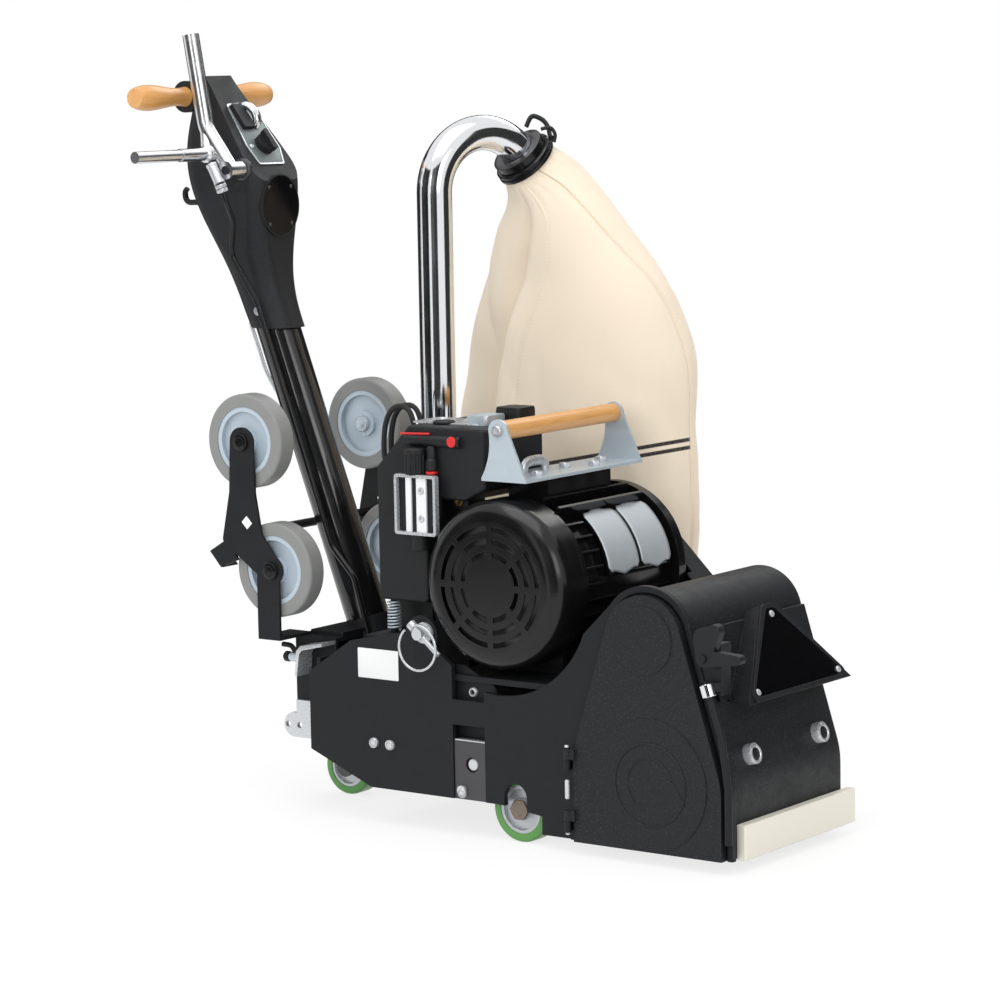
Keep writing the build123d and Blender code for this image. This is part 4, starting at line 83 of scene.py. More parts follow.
def fill(tree, node, inputs):
    """Sets a node's inputs, each to a value or from another node's output."""
    for key, value in inputs.items():
        if isinstance(value, bpy.types.NodeSocket):
            tree.links.new(value, node.inputs[key])
        else:
            node.inputs[key].default_value = value


def add_node(tree, kind, inputs=None, **settings):
    """A shader node with its settings and its inputs."""
    made = tree.nodes.new(kind)
    for key, value in settings.items():
        setattr(made, key, value)
    fill(tree, made, inputs or {})
    return made


def new_material(name):
    """A node material with its tree and its main shader."""
    made = bpy.data.materials.new(name)
    made.use_nodes = True
    return made, made.node_tree, made.node_tree.nodes["Principled BSDF"]


def object_spot(tree):
    """The place on the object, in metres."""
    return add_node(tree, "ShaderNodeTexCoord").outputs["Object"]


def noise(tree, scale, detail=2, stretch=(1, 1, 1)):
    """Noise in object space, in features per metre, stretched along the axes."""
    place = add_node(tree, "ShaderNodeMapping", {"Vector": object_spot(tree), "Scale": stretch})
    inputs = {"Vector": place.outputs["Vector"], "Scale": scale, "Detail": detail}
    return add_node(tree, "ShaderNodeTexNoise", inputs).outputs["Fac"]


def spread(tree, source, low, high, start=0.3, end=0.7):
    """A value from low to high, led by another that goes from start to end."""
    inputs = {"Value": source, "From Min": start, "From Max": end, "To Min": low, "To Max": high}
    return add_node(tree, "ShaderNodeMapRange", inputs).outputs["Result"]


def math_node(tree, operation, first, second=0):
    return add_node(tree, "ShaderNodeMath", {0: first, 1: second}, operation=operation).outputs["Value"]


def attribute(tree, name):
    """A value that the mesh holds at its points."""
    return add_node(tree, "ShaderNodeAttribute", attribute_name=name).outputs["Fac"]


def opaque(colour):
    """A colour with its alpha; another node's output is left as it is."""
    return colour if isinstance(colour, bpy.types.NodeSocket) else (*colour, 1)


def mixed(tree, factor, under, over):
    """One colour laid over another by a mask."""
    inputs = {MIX_FACTOR: factor, MIX_UNDER: opaque(under), MIX_OVER: opaque(over)}
    return add_node(tree, "ShaderNodeMix", inputs, data_type="RGBA").outputs[MIX_RESULT]


def relief(tree, height, depth, normal=None):
    """Bump of this depth in metres."""
    inputs = {"Height": height, "Distance": depth, "Strength": 1}
    if normal is not None:
        inputs["Normal"] = normal
    return add_node(tree, "ShaderNodeBump", inputs).outputs["Normal"]


def soft_edge(tree, radius):
    """The normal with its edges rounded, and a mask of those edges."""
    bevelled = add_node(tree, "ShaderNodeBevel", {"Radius": radius}, samples=BEVEL_SAMPLES).outputs["Normal"]
    plain = add_node(tree, "ShaderNodeNewGeometry").outputs["Normal"]
    both = add_node(tree, "ShaderNodeVectorMath", {0: bevelled, 1: plain}, operation="DOT_PRODUCT")
    return bevelled, spread(tree, both.outputs["Value"], 1, 0, EDGE_FULL, EDGE_NONE)


def shade(colour, factor):
    return tuple(min(1, part * factor) for part in colour)


def painted(name, colour, rough, patch=16, grain=900, depth=0.00008, edge=0.0012, wear=0.25,
            metallic=0, coat=0, specular=0.5, rough_spread=0.08, stretch=(1, 1, 1), fleck=0):
    """Paint, plastic, rubber or metal: uneven gloss, a grain in relief, flecks and worn edges."""
    made, tree, shader = new_material(name)
    tone = colour
    pale = tuple(part * PALE_GAIN + PALE_LIFT for part in colour)
    normal = None
    if fleck:
        specks = spread(tree, noise(tree, grain, 2, stretch), 0, fleck, FLECK_FROM, FLECK_TO)
        tone = mixed(tree, specks, tone, pale)
    if edge:
        normal, edges = soft_edge(tree, edge)
        rubbed = math_node(tree, "MULTIPLY", edges, spread(tree, noise(tree, RUB_SCALE, 3), 0, wear))
        tone = mixed(tree, rubbed, tone, pale)
    uneven = noise(tree, patch * GLOSS_FINE, 3, stretch)
    fill(tree, shader, {
        "Base Color": opaque(tone),
        "Roughness": spread(tree, uneven, rough - rough_spread, rough + rough_spread),
        "Normal": relief(tree, noise(tree, grain, 2, stretch), depth, normal),
        "Metallic": metallic,
        "Coat Weight": coat,
        "Coat Roughness": COAT_ROUGH,
        "Specular IOR Level": specular,
    })
    return made


def plated(name, colour, rough, grain=90, **looks):
    """Bright metal, which keeps the mesh's own edges."""
    return painted(name, colour, rough, grain=grain, depth=PLATED_DEPTH, edge=0, **looks)


def wooden(name, tone, streak, stretch):
    """Turned, varnished wood with its grain along the stretched axis."""
    made, tree, shader = new_material(name)
    fibres = noise(tree, 6, 3, stretch)
    streaks = spread(tree, fibres, 0, 0.35, 0.45, 0.75)
    fill(tree, shader, {
        "Base Color": mixed(tree, streaks, tone, streak),
        "Roughness": spread(tree, fibres, 0.34, 0.5),
        "Normal": relief(tree, fibres, 0.00012),
        "Coat Weight": 0.35,
        "Coat Roughness": 0.25,
    })
    return made


CANVAS_TONE = (0.88, 0.7625, 0.6075)
WEAVE_SHADOW = (0.64, 0.5, 0.35)
SLUB_TONE = (0.55, 0.43, 0.3)
STRIPE_TONE = (0.006, 0.006, 0.007)
STITCH_TONE = (0.52, 0.3, 0.17)
WEAVE_PITCH = 0.0011
STRIPE_LEAN = 0.19
STRIPE_AT = 0.4705
STRIPE_X = -0.25
STRIPE_STEP = 0.011
STRIPE_HALF = 0.0027
STRIPE_BLUR = 0.0004
STITCH_PITCH = 0.005
STITCH_SHARE = 0.65
STITCH_STRENGTH = 0.16
# Each seam: its angle low on the bag, how far it runs ahead of that near the neck, and its height
SEAMS = ((-107, 32, 1.4), (-5, -27, -3.6))


def canvas_material():
    """Unbleached canvas: a plain weave with slubs, stitching beside the seams and two dark stripes."""
    made, tree, shader = new_material("bag_canvas")
    cloth = add_node(tree, "ShaderNodeUVMap", uv_map="cloth").outputs["UV"]
    waves = []
    for axis in ("X", "Y"):
        inputs = {"Vector": cloth, "Scale": 1 / (2 * WEAVE_PITCH), "Distortion": 0.6, "Detail": 1,
                  "Detail Scale": 3}
        waves.append(add_node(tree, "ShaderNodeTexWave", inputs, bands_direction=axis).outputs["Fac"])
    weave = math_node(tree, "MAXIMUM", *waves)
    slubs = noise(tree, 420, 3)
    tone = mixed(tree, spread(tree, weave, 0.16, 0, 0.2, 0.9), CANVAS_TONE, WEAVE_SHADOW)
    tone = mixed(tree, spread(tree, slubs, 0, 0.16, 0.62, 0.8), tone, SLUB_TONE)
    spot = add_node(tree, "ShaderNodeSeparateXYZ", {"Vector": object_spot(tree)}).outputs
    height = math_node(tree, "SUBTRACT", spot["Z"], math_node(tree, "MULTIPLY", spot["X"], STRIPE_LEAN))
    bands = []
    for step in (0, STRIPE_STEP):
        past = math_node(tree, "SUBTRACT", height, STRIPE_AT + step - STRIPE_LEAN * STRIPE_X)
        away = math_node(tree, "ABSOLUTE", past)
        bands.append(spread(tree, away, 1, 0, STRIPE_HALF - STRIPE_BLUR, STRIPE_HALF + STRIPE_BLUR))
    stripes = math_node(tree, "MULTIPLY", math_node(tree, "MAXIMUM", *bands), attribute(tree, "front_panel"))
    worn = math_node(tree, "MULTIPLY", stripes, spread(tree, slubs, 0.92, 1))
    tone = mixed(tree, worn, tone, STRIPE_TONE)
    along = add_node(tree, "ShaderNodeSeparateXYZ", {"Vector": cloth}).outputs["Y"]
    beside = math_node(tree, "MAXIMUM", *[attribute(tree, f"seam_{seam}") for seam in range(len(SEAMS))])
    dash = math_node(tree, "FRACT", math_node(tree, "DIVIDE", along, STITCH_PITCH))
    stitch = math_node(tree, "MULTIPLY", beside, math_node(tree, "LESS_THAN", dash, STITCH_SHARE))
    faint = math_node(tree, "MULTIPLY", stitch, STITCH_STRENGTH)
    fill(tree, shader, {
        "Base Color": mixed(tree, faint, tone, STITCH_TONE),
        "Roughness": spread(tree, slubs, 0.86, 0.95),
        "Normal": relief(tree, weave, 0.00022, relief(tree, slubs, 0.00025)),
        "Sheen Weight": 0.25,
        "Sheen Roughness": 0.5,
        "Specular IOR Level": 0.2,
    })
    return made


GRIT_TONE = (0.145, 0.06, 0.0335)


def abrasive_material():
    """Grit on cloth."""
    made, tree, shader = new_material("grit")
    grains = noise(tree, 1600, 2)
    fill(tree, shader, {
        "Base Color": opaque(GRIT_TONE),
        "Roughness": spread(tree, grains, 0.75, 0.95),
        "Normal": relief(tree, grains, 0.0004),
    })
    return made


BLACK = (0.0085, 0.0092, 0.0105)
JET = (0.0045, 0.0045, 0.005)
powder = painted("powder_black", BLACK, 0.48, grain=1300, depth=0.00009, specular=0.24, fleck=0.15)
cast = painted("cast_black", shade(BLACK, 1.15), 0.47, grain=430, depth=0.00042, specular=0.27, fleck=0.4)
gloss = painted("gloss_black", JET, 0.2, grain=260, depth=0.00002, wear=0.1, rough_spread=0.05,
                specular=0.38)
tube_gloss = painted("tube_black", JET, 0.16, grain=220, depth=0.00002, wear=0.08, coat=0.3,
                     rough_spread=0.04)
plastic = painted("black_plastic", shade(BLACK, 0.9), 0.5, grain=1500, depth=0.00006, specular=0.32,
                  fleck=0.1)
head_plastic = painted("head_plastic", shade(BLACK, 1.1), 0.5, grain=700, depth=0.00024, specular=0.27,
                       fleck=0.3)
plate_gloss = painted("plate_black", (0.0025, 0.0025, 0.003), 0.12, grain=120, depth=0.00001, wear=0.05,
                      rough_spread=0.03, specular=0.16)
dark_steel = painted("dark_steel", (0.09, 0.09, 0.095), 0.36, metallic=0.85, grain=700, depth=0.00002)
chrome = plated("bright_chrome", (0.78, 0.79, 0.81), 0.1, grain=140, metallic=1, rough_spread=0.02)
satin = plated("satin_chrome", (0.7, 0.705, 0.72), 0.24, metallic=1, rough_spread=0.05)
zinc = plated("zinc_plate", (0.5, 0.57, 0.62), 0.4, patch=60, metallic=0.5)
bright_zinc = plated("bright_zinc", (0.6, 0.62, 0.64), 0.28, patch=70, metallic=0.6, rough_spread=0.03)
bolt_zinc = plated("bolt_zinc", (0.45, 0.46, 0.47), 0.3, patch=120, metallic=0.7, rough_spread=0.03)
alloy = painted("cast_alloy", (0.5, 0.52, 0.54), 0.38, metallic=0.75, grain=420, depth=0.00003)
iron = painted("cast_iron", (0.2, 0.2, 0.205), 0.55, metallic=0.7, grain=420)
tread_grey = painted("tread_grey", (0.2, 0.205, 0.2), 0.5, depth=0.00006, wear=0.1, specular=0.35)
hub_pale = painted("hub_pale", (0.38, 0.45, 0.51), 0.4, grain=600, depth=0.00003, wear=0.1)
tread_green = painted("tread_green", (0.085, 0.25, 0.06), 0.34, grain=500, depth=0.00004, wear=0.1)
bumper = painted("bumper_pale", (0.74, 0.71, 0.62), 0.55, patch=7, grain=700, depth=0.00005, wear=0.3,
                 stretch=(4, 1, 6))
rubber = painted("belt_rubber", (0.013, 0.013, 0.013), 0.65, depth=0.0001, specular=0.35)
red = painted("red_plastic", (0.55, 0.012, 0.014), 0.35, depth=0.00003, wear=0.05)
brass = painted("brass", (0.62, 0.42, 0.14), 0.3, metallic=1, grain=600, depth=0.000006, wear=0.1)
label = painted("blank_label", (0.66, 0.67, 0.67), 0.4, patch=30, grain=500, depth=0.00001, wear=0.1)
plate_alloy = painted("blank_plate", (0.44, 0.475, 0.5), 0.42, patch=40, metallic=0.3,
                      depth=0.00001, edge=0)
rust_steel = painted("worn_steel", (0.2, 0.16, 0.13), 0.45, metallic=0.6, grain=500, depth=0.00006)
panel_grey = painted("panel_grey", (0.15, 0.175, 0.175), 0.34, metallic=0.4, grain=800, depth=0.00002)
wood = wooden("turned_wood", (0.6005, 0.3001, 0.089), (0.288, 0.116, 0.0304), (55, 4, 55))
canvas = canvas_material()
grit = abrasive_material()

FINISHES = {
    powder: "near_side_panel far_side_panel base_plate rear_frame motor_base suction_housing transport_arms "
            "wheel_crank latch_rod belt_guard",
    cast: "drum_housing belt_door front_hood",
    gloss: "motor_frame fan_cover lift_rod bag_collar",
    tube_gloss: "handle_tube",
    plastic: "control_box latch_lever rotary_knob power_rocker cable_loops",
    head_plastic: "handle_head",
    chrome: "suction_pipe",
    satin: "lift_lever",
    zinc: "carry_bracket tension_spring",
    bright_zinc: "hitch_plate lock_pin lock_ring fasteners",
    dark_steel: "latch_plate caster_fork bearings drum_shaft impeller motor_rotor",
    iron: "sanding_drum",
    rubber: "tension_roller drive_belts",
    alloy: "near_front_hub far_front_hub caster_hub",
    tread_green: "near_front_tyre far_front_tyre caster_tyre",
    tread_grey: "upper_near_transport_tyre upper_far_transport_tyre lower_near_transport_tyre "
                "lower_far_transport_tyre",
    hub_pale: "upper_near_transport_hub upper_far_transport_hub lower_near_transport_hub "
              "lower_far_transport_hub",
    wood: "cross_handle carry_grip",
    bumper: "front_bumper",
    grit: "abrasive_belt",
    canvas: "dust_bag",
}
for finish, names in FINISHES.items():
    for name in names.split():
        slots = NODES[name].data.materials
        slots.clear()
        slots.append(finish)


# Mesh helpers

def form(helper):
    """Lets a helper that adds to a mesh be called without one; put then gives it the mesh of its piece."""
    def given(*values, **named):
        return lambda mesh: helper(mesh, *values, **named)
    return given


def put(name, material, slot, *forms, body="chassis", sharp=35):
    """Makes a piece of its forms and lets it ride on a body."""
    mesh = bmesh.new()
    for add_to in forms:
        add_to(mesh)
    data = bpy.data.meshes.new(name)
    bmesh.ops.recalc_face_normals(mesh, faces=mesh.faces)
    mesh.to_mesh(data)
    mesh.free()
    data.materials.append(material)
    data.shade_smooth()
    data.set_sharp_from_angle(angle=math.radians(sharp))
    made = add_object(name, data)
    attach(made, body)
    return made


def thicken(made, thickness):
    """Gives a sheet its thickness, in metres, on the inner side."""
    solid = made.modifiers.new("thickness", "SOLIDIFY")
    solid.thickness = thickness
    solid.offset = -1


def frame_at(origin, out, up=TOP):
    """A local frame at a point in millimetres: Z along out, Y as near to up as it goes."""
    z = Vector(out).normalized()
    x = Vector(up).cross(z)
    if x.length < 1e-6:
        x = Vector(FAR).cross(z)
    x.normalize()
    y = z.cross(x)
    turn = Matrix((x, y, z)).transposed().to_4x4()
    turn.translation = Vector(origin) * MM
    return turn


def moved(place, x, y, z):
    """A frame moved along its own axes, in millimetres."""
    return place @ Matrix.Translation(mm(x, y, z))


def skin(mesh, rows, closed=False):
    """Joins rings of points with faces, and caps the first and the last unless they are joined too."""
    following = rows[1:] + rows[:1] if closed else rows[1:]
    for low, high in zip(rows, following):
        for step in range(len(low)):
            after = (step + 1) % len(low)
            mesh.faces.new((low[step], low[after], high[after], high[step]))
    if not closed:
        mesh.faces.new(rows[0][::-1])
        mesh.faces.new(rows[-1])


@form
def turned(mesh, place, profile, sides=40, shape=None):
    """Turns a profile of radius and height, in millimetres, round the frame's Z axis, closed at both ends.
    shape gives the reach of the profile's marked points at an angle, such as a hexagon's."""
    rows = []
    for radius, height, *marks in profile:
        row = []
        for step in range(sides):
            angle = 2 * math.pi * step / sides
            reach = radius * shape(angle) if marks and shape else radius
            row.append(mesh.verts.new(place @ mm(reach * math.cos(angle), reach * math.sin(angle), height)))
        rows.append(row)
    skin(mesh, rows)


def hexagon(angle):
    """The reach of a hexagon of inner radius one."""
    side = math.radians(60)
    return 1 / math.cos((angle % side) - side / 2)


def socket_screw(place, radius, height):
    """A round-headed screw with a hexagon socket."""
    return turned(place, (
        (radius, -0.4), (radius, height * 0.35), (radius * 0.93, height * 0.72), (radius * 0.75, height),
        (radius * 0.52, height, 1), (radius * 0.48, height * 0.9, 1), (radius * 0.48, height * 0.25, 1),
    ), sides=48, shape=hexagon)


def shaded_socket_floor(place, radius, height):
    """A dark disc low in a screw's socket: painted shade where the steel socket lies in shadow."""
    return turned(place, (
        (radius * 0.47, height * 0.26), (radius * 0.47, height * 0.32), (radius * 0.3, height * 0.3),
    ), sides=24)


def cross_screw(place, radius, height):
    """A domed screw with a dimple."""
    return turned(place, (
        (radius, -0.3), (radius, height * 0.25), (radius * 0.85, height * 0.7), (radius * 0.5, height * 0.97),
        (radius * 0.28, height), (radius * 0.2, height * 0.6),
    ), sides=28)


def hex_nut(place, radius, height):
    """A hexagon nut with chamfered corners."""
    return turned(place, (
        (radius * 0.9, -0.2), (radius, height * 0.12, 1), (radius, height * 0.85, 1), (radius * 0.92, height),
        (radius * 0.55, height), (radius * 0.5, height * 0.8),
    ), sides=48, shape=lambda angle: hexagon(angle) * 0.9)


def rounded(points, radius, steps=6):
    """An outline with its corners rounded, in millimetres."""
    made = []
    count = len(points)
    for index in range(count):
        corner = Vector(points[index])
        before = (Vector(points[index - 1]) - corner).normalized()
        after = (Vector(points[(index + 1) % count]) - corner).normalized()
        half = before.angle(after) / 2
        run = radius / math.tan(half)
        centre = corner + (before + after).normalized() * (radius / math.sin(half))
        first = corner + before * run - centre
        last = corner + after * run - centre
        turn = first.angle_signed(last)
        for step in range(steps + 1):
            ray = first.copy()
            ray.rotate(Matrix.Rotation(-turn * step / steps, 2))
            made.append(centre + ray)
    return made


def box_outline(width, height, corner):
    """A rectangle about the middle, with round corners."""
    x = width / 2
    y = height / 2
    return rounded(((-x, -y), (x, -y), (x, y), (-x, y)), corner)


@form
def prism(mesh, place, outline, low, high, bevel=0.6):
    """A flat plate from an outline in millimetres, with bevelled rims."""
    bottom = [mesh.verts.new(place @ mm(x, y, low)) for x, y in outline]
    top = [mesh.verts.new(place @ mm(x, y, high)) for x, y in outline]
    count = len(outline)
    ends = [mesh.faces.new(bottom[::-1]), mesh.faces.new(top)]
    for step in range(count):
        after = (step + 1) % count
        mesh.faces.new((bottom[step], bottom[after], top[after], top[step]))
    rims = [edge for face in ends for edge in face.edges]
    bmesh.ops.bevel(mesh, geom=rims, offset=bevel * MM, segments=2, affect="EDGES", profile=0.6)


@form
def ring_plate(mesh, place, outer, inner, low, high):
    """A flat frame between two outlines of as many points."""
    rows = []
    for outline, height in ((outer, low), (outer, high), (inner, high), (inner, low)):
        rows.append([mesh.verts.new(place @ mm(x, y, height)) for x, y in outline])
    skin(mesh, rows, closed=True)


def between(a, b, c, d, t):
    """A smooth step from b to c, between a before them and d after them."""
    square = (2 * a - 5 * b + 4 * c - d) * t * t
    cube = (3 * b - a - 3 * c + d) * t ** 3
    return 0.5 * (2 * b + (c - a) * t + square + cube)


def curve_points(points, steps=8):
    """A smooth line through the points, in millimetres."""
    points = [Vector(point) for point in points]
    made = []
    for index in range(len(points) - 1):
        before = points[max(index - 1, 0)]
        beyond = points[min(index + 2, len(points) - 1)]
        for step in range(steps):
            made.append(between(before, points[index], points[index + 1], beyond, step / steps))
    made.append(points[-1])
    return made


@form
def tube(mesh, points, radius, sides=14, flat=1, closed=False, taper=1):
    """A round or flattened bar along a line, in millimetres."""
    points = [Vector(point) for point in points]
    count = len(points)
    rows = []
    side = None
    for index, point in enumerate(points):
        if closed:
            way = points[(index + 1) % count] - points[index - 1]
        else:
            way = points[min(index + 1, count - 1)] - points[max(index - 1, 0)]
        way.normalize()
        if side is None:
            side = way.orthogonal().normalized()
            if abs(way.y) < 0.9:
                side = Vector(FAR).cross(way).normalized()
        side = (side - way * side.dot(way)).normalized()
        up = way.cross(side)
        reach = radius * (1 + (taper - 1) * index / max(count - 1, 1))
        row = []
        for step in range(sides):
            angle = 2 * math.pi * step / sides
            offset = side * math.cos(angle) * reach + up * math.sin(angle) * reach * flat
            row.append(mesh.verts.new((point + offset) * MM))
        rows.append(row)
    skin(mesh, rows, closed)


def arc(centre, radius, start, end, y, steps=48):
    """Points of an arc in the plane along the machine at this Y."""
    made = []
    for step in range(steps + 1):
        angle = math.radians(start + (end - start) * step / steps)
        made.append((centre[0] + radius * math.cos(angle), y, centre[1] + radius * math.sin(angle)))
    return made


# Sizes shared with the solids, in millimetres
CHASSIS_HALF = 145
DOOR_OUT = -155.5
DRUM_BOSS = (0, 104)
MOTOR = (-249, 336)
BARREL_R = 92
PLATE_R = 103
CARRY_BASE = 474
BOX_TOP = 536
HEAD_FOOT = Vector((-718.23, 0, 648.03))
SLOPE_ANGLE = math.radians(53)
PIPE_END = Vector((-435.5, 190, 883.3))
PIPE_WAY = Vector((0.228, 0.662, -0.714)).normalized()
# The sloping faces of the hood and of the handle head: foot, way up and way out
HOOD_UP = Vector((-52, 0, 108)).normalized()
HOOD = (Vector((122, 10.5, 210)), HOOD_UP, Vector(FAR).cross(HOOD_UP))
SLOPE = (
    HEAD_FOOT + Vector((3, 0, 214)),
    Vector((-math.cos(SLOPE_ANGLE), 0, math.sin(SLOPE_ANGLE))),
    Vector((math.sin(SLOPE_ANGLE), 0, math.cos(SLOPE_ANGLE))),
)


def on_face(face, across, up, lift=0):
    """A point on a sloping face: so far from its middle, up from its foot and out from it."""
    foot, rise, out = face
    return foot + Vector((0, across, 0)) + rise * up + out * lift


def face_frame(face, across=0, up=0):
    """A frame on a sloping face."""
    foot, rise, out = face
    return frame_at(on_face(face, across, up), out, rise)


# Hood: the glossy bare triangle, its raised rim and three screws
HOOD_PLATE_T = 2.2
HOOD_SCREWS = ((0, 105), (-97, 13), (97, 13))
hood_inner = rounded(((-110, 7), (110, 7), (9, 113), (-9, 113)), 8)
hood_outer = rounded(((-121, 0.5), (121, 0.5), (15, 119), (-15, 119)), 9)
put("hood_plate", plate_gloss, "black_gloss",
    prism(face_frame(HOOD), hood_inner, -1, HOOD_PLATE_T, bevel=0.5))
put("hood_rim", cast, "black_plastic", ring_plate(face_frame(HOOD), hood_outer, hood_inner, -1, 3.2))
put("hood_screws", bright_zinc, "zinc",
    *[cross_screw(moved(face_frame(HOOD, *spot), 0, 0, HOOD_PLATE_T), 4.6, 2.6) for spot in HOOD_SCREWS])

# Door: thin raised rings with a plain arrow that shows the drum's turn
ARROW = ((-8, 6), (3, 2), (21, -26), (0, -4))
arrow_place = frame_at((DRUM_BOSS[0] + 33, DOOR_OUT, DRUM_BOSS[1] + 4), NEAR)
put("door_rings", cast, "black_powder",
    tube(arc(DRUM_BOSS, 53, 0, 352.5, DOOR_OUT), 1.5, sides=8, closed=True),
    tube(arc(DRUM_BOSS, 34, 15, 255, DOOR_OUT), 1.2, sides=8), body="belt_door")
put("door_arrow", cast, "black_powder", prism(arrow_place, ARROW, -0.4, 0.8, bevel=0.3), body="belt_door")

# Front bolts: bright rings round dark caps
BOLT_LEAN = math.tan(math.radians(15.6))
BOLT_PROUD = 1.4
BOLT_RING = ((12.6, -13), (12.6, 0.2), (11.8, 1.4), (9.4, 1.4), (8.4, 0.4), (8.4, -0.4))
BOLT_CAP = ((8.3, -0.2), (8.3, 0.5), (6, 1.3), (3.2, 1.5), (2.6, 0.9))
bolt_faces = [frame_at((108.87, y, 142.42), (1, 0, BOLT_LEAN)) for y in (-80, 84)]
bolt_faces = [moved(face, 0, 0, BOLT_PROUD) for face in bolt_faces]
put("front_bolt_rings", bright_zinc, "zinc", *[turned(face, BOLT_RING, sides=56) for face in bolt_faces])
put("front_bolt_caps", plastic, "black_plastic", *[turned(face, BOLT_CAP) for face in bolt_faces])

# Motor: two blank curved plates on a raised pad of the barrel
PLATE_T = 1.2
PAD_SUNK = 0.5
PLATE_ROWS = 24
PLATE_COLUMNS = 14
POINT_HALF = 0.3
CORNER_FROM = 0.86
# Each plate: radius, thickness, ends across the machine, angles, height of its points, finish and slot
MOTOR_PLATES = {
    "motor_plate_pad": (PLATE_R, PLATE_R - BARREL_R + PAD_SUNK, (-20, 117), (3, 57), 0, gloss,
                        "black_gloss"),
    "motor_plate_near": (PLATE_R + PLATE_T, PLATE_T, (-26, 44), (6, 55), 3.4, plate_alloy, "alloy"),
    "motor_plate_far": (PLATE_R + PLATE_T, PLATE_T, (51, 119), (6, 56), 3.4, plate_alloy, "alloy"),
}


@form
def bent_sheet(mesh, radius, ends, angles, peak):
    """A sheet bent round the motor's axis, with a blunt point in the middle of its two curved ends."""
    near, far = ends
    low, high = angles
    rows = []
    for step in range(PLATE_ROWS + 1):
        row = []
        for along in range(PLATE_COLUMNS + 1):
            share = along / PLATE_COLUMNS
            point = max(0, 1 - abs(share - 0.5) / POINT_HALF) * peak
            corner = max(0, abs(share - 0.5) * 2 - CORNER_FROM) / (1 - CORNER_FROM) * peak
            start = low - point + corner
            angle = math.radians(start + (high + point - corner - start) * step / PLATE_ROWS)
            row.append(mesh.verts.new(mm(MOTOR[0] + radius * math.cos(angle), near + (far - near) * share,
                                         MOTOR[1] + radius * math.sin(angle))))
        rows.append(row)
    for first, second in zip(rows, rows[1:]):
        for along in range(PLATE_COLUMNS):
            mesh.faces.new((first[along], first[along + 1], second[along + 1], second[along]))


for name, (radius, thickness, ends, angles, peak, finish, slot) in MOTOR_PLATES.items():
    thicken(put(name, finish, slot, bent_sheet(radius, ends, angles, peak)), thickness * MM)

# Chassis: blank label, bolt heads, latch-plate lip, hinge pins, axle nut and the latch rod's collar
SIDE_BOLT_R = 7
GRIP_BOLT_R = 8
BOLT_HIGH = 0.65
SIDE_BOLTS = ((-448, -CHASSIS_HALF, 111.5), (-420.5, -CHASSIS_HALF, 110.5), (-303.6, -143, 58.5),
              (-291, -131, 192))
GRIP_BOLTS = (((-252, -122, 536), NEAR), ((-252, 146, 536), FAR))
HINGE_PINS = ((73, 98), (139.5, 143), (26.5, 29.8))
LATCH_ROD_TOP = Vector((86, -151.5, 232))
LATCH_ROD_FOOT = Vector((105, -151.5, 175))
put("side_label", label, "bumper_pale",
    prism(frame_at((-439, -CHASSIS_HALF, 218), NEAR), box_outline(68, 40, 1.5), -0.2, 0.6, bevel=0.15))
bolts = [(frame_at(spot, NEAR), SIDE_BOLT_R, SIDE_BOLT_R * BOLT_HIGH) for spot in SIDE_BOLTS]
bolts += [(frame_at(spot, way), GRIP_BOLT_R, GRIP_BOLT_R * BOLT_HIGH) for spot, way in GRIP_BOLTS]
put("bolt_heads", bolt_zinc, "zinc", *[socket_screw(*bolt) for bolt in bolts])
# Painted shade: dark plastic discs low in the bolts' sockets stand in for the shadow in the recesses
put("bolt_socket_shade", plastic, "black_plastic", *[shaded_socket_floor(*bolt) for bolt in bolts])
put("latch_lip", bright_zinc, "zinc",
    prism(frame_at((-291, -138, 128), TOP), box_outline(50, 10, 1), -0.6, 1.4, bevel=0.4))
put("crank_cap", bright_zinc, "zinc",
    turned(frame_at((-288, -135.8, 97), NEAR), ((8.1, -0.5), (8.1, 4.2), (7.2, 5), (3, 5.2), (1.2, 5))),
    body="wheel_crank")
put("hinge_pins", bright_zinc, "zinc",
    *[turned(frame_at((-125.5, -157.5, low), TOP),
             ((2, 0), (3.1, 1), (3.1, high - low - 1), (2, high - low)), sides=24)
      for low, high in HINGE_PINS])
put("axle_nut", rust_steel, "iron", hex_nut(frame_at((-219, -132.3, 43.5), NEAR), 14, 3.6),
    body="wheel_crank")
put("latch_rod_collar", chrome, "bright_chrome",
    turned(frame_at(LATCH_ROD_TOP, (LATCH_ROD_FOOT - LATCH_ROD_TOP).normalized()),
           ((5.2, -8.2), (8.6, -8.2), (9.4, -7.4), (9.4, 7.4), (8.6, 8.2), (5.2, 8.2))))

# Rear corner: folded bright catch with its small latch bolt
CATCH_LINE = ((-601, 184), (-596, 184), (-593, 215), (-588, 221), (-552, 228),
              (-552, 233), (-590, 226.5), (-597.5, 219))
CATCH_Y = -108
put("rear_catch", bright_zinc, "zinc", prism(frame_at((0, -95, 0), NEAR), CATCH_LINE, -2, 30, bevel=0.8))
put("catch_bolt", zinc, "zinc",
    turned(frame_at((-597, CATCH_Y, 207), BACK),
           ((9, -2), (9, 3), (6.5, 4), (6.5, 22), (5.5, 24), (2, 24.5)), sides=32))
put("catch_grip", plastic, "black_plastic",
    tube(curve_points(((-612, CATCH_Y, 214), (-620, CATCH_Y, 222), (-634, CATCH_Y, 223))), 3.6, sides=16),
    turned(frame_at((-622, CATCH_Y, 207), BACK),
           ((5, -1.5), (7.2, 0), (7.2, 6), (5, 8.5), (2, 9)), sides=28))

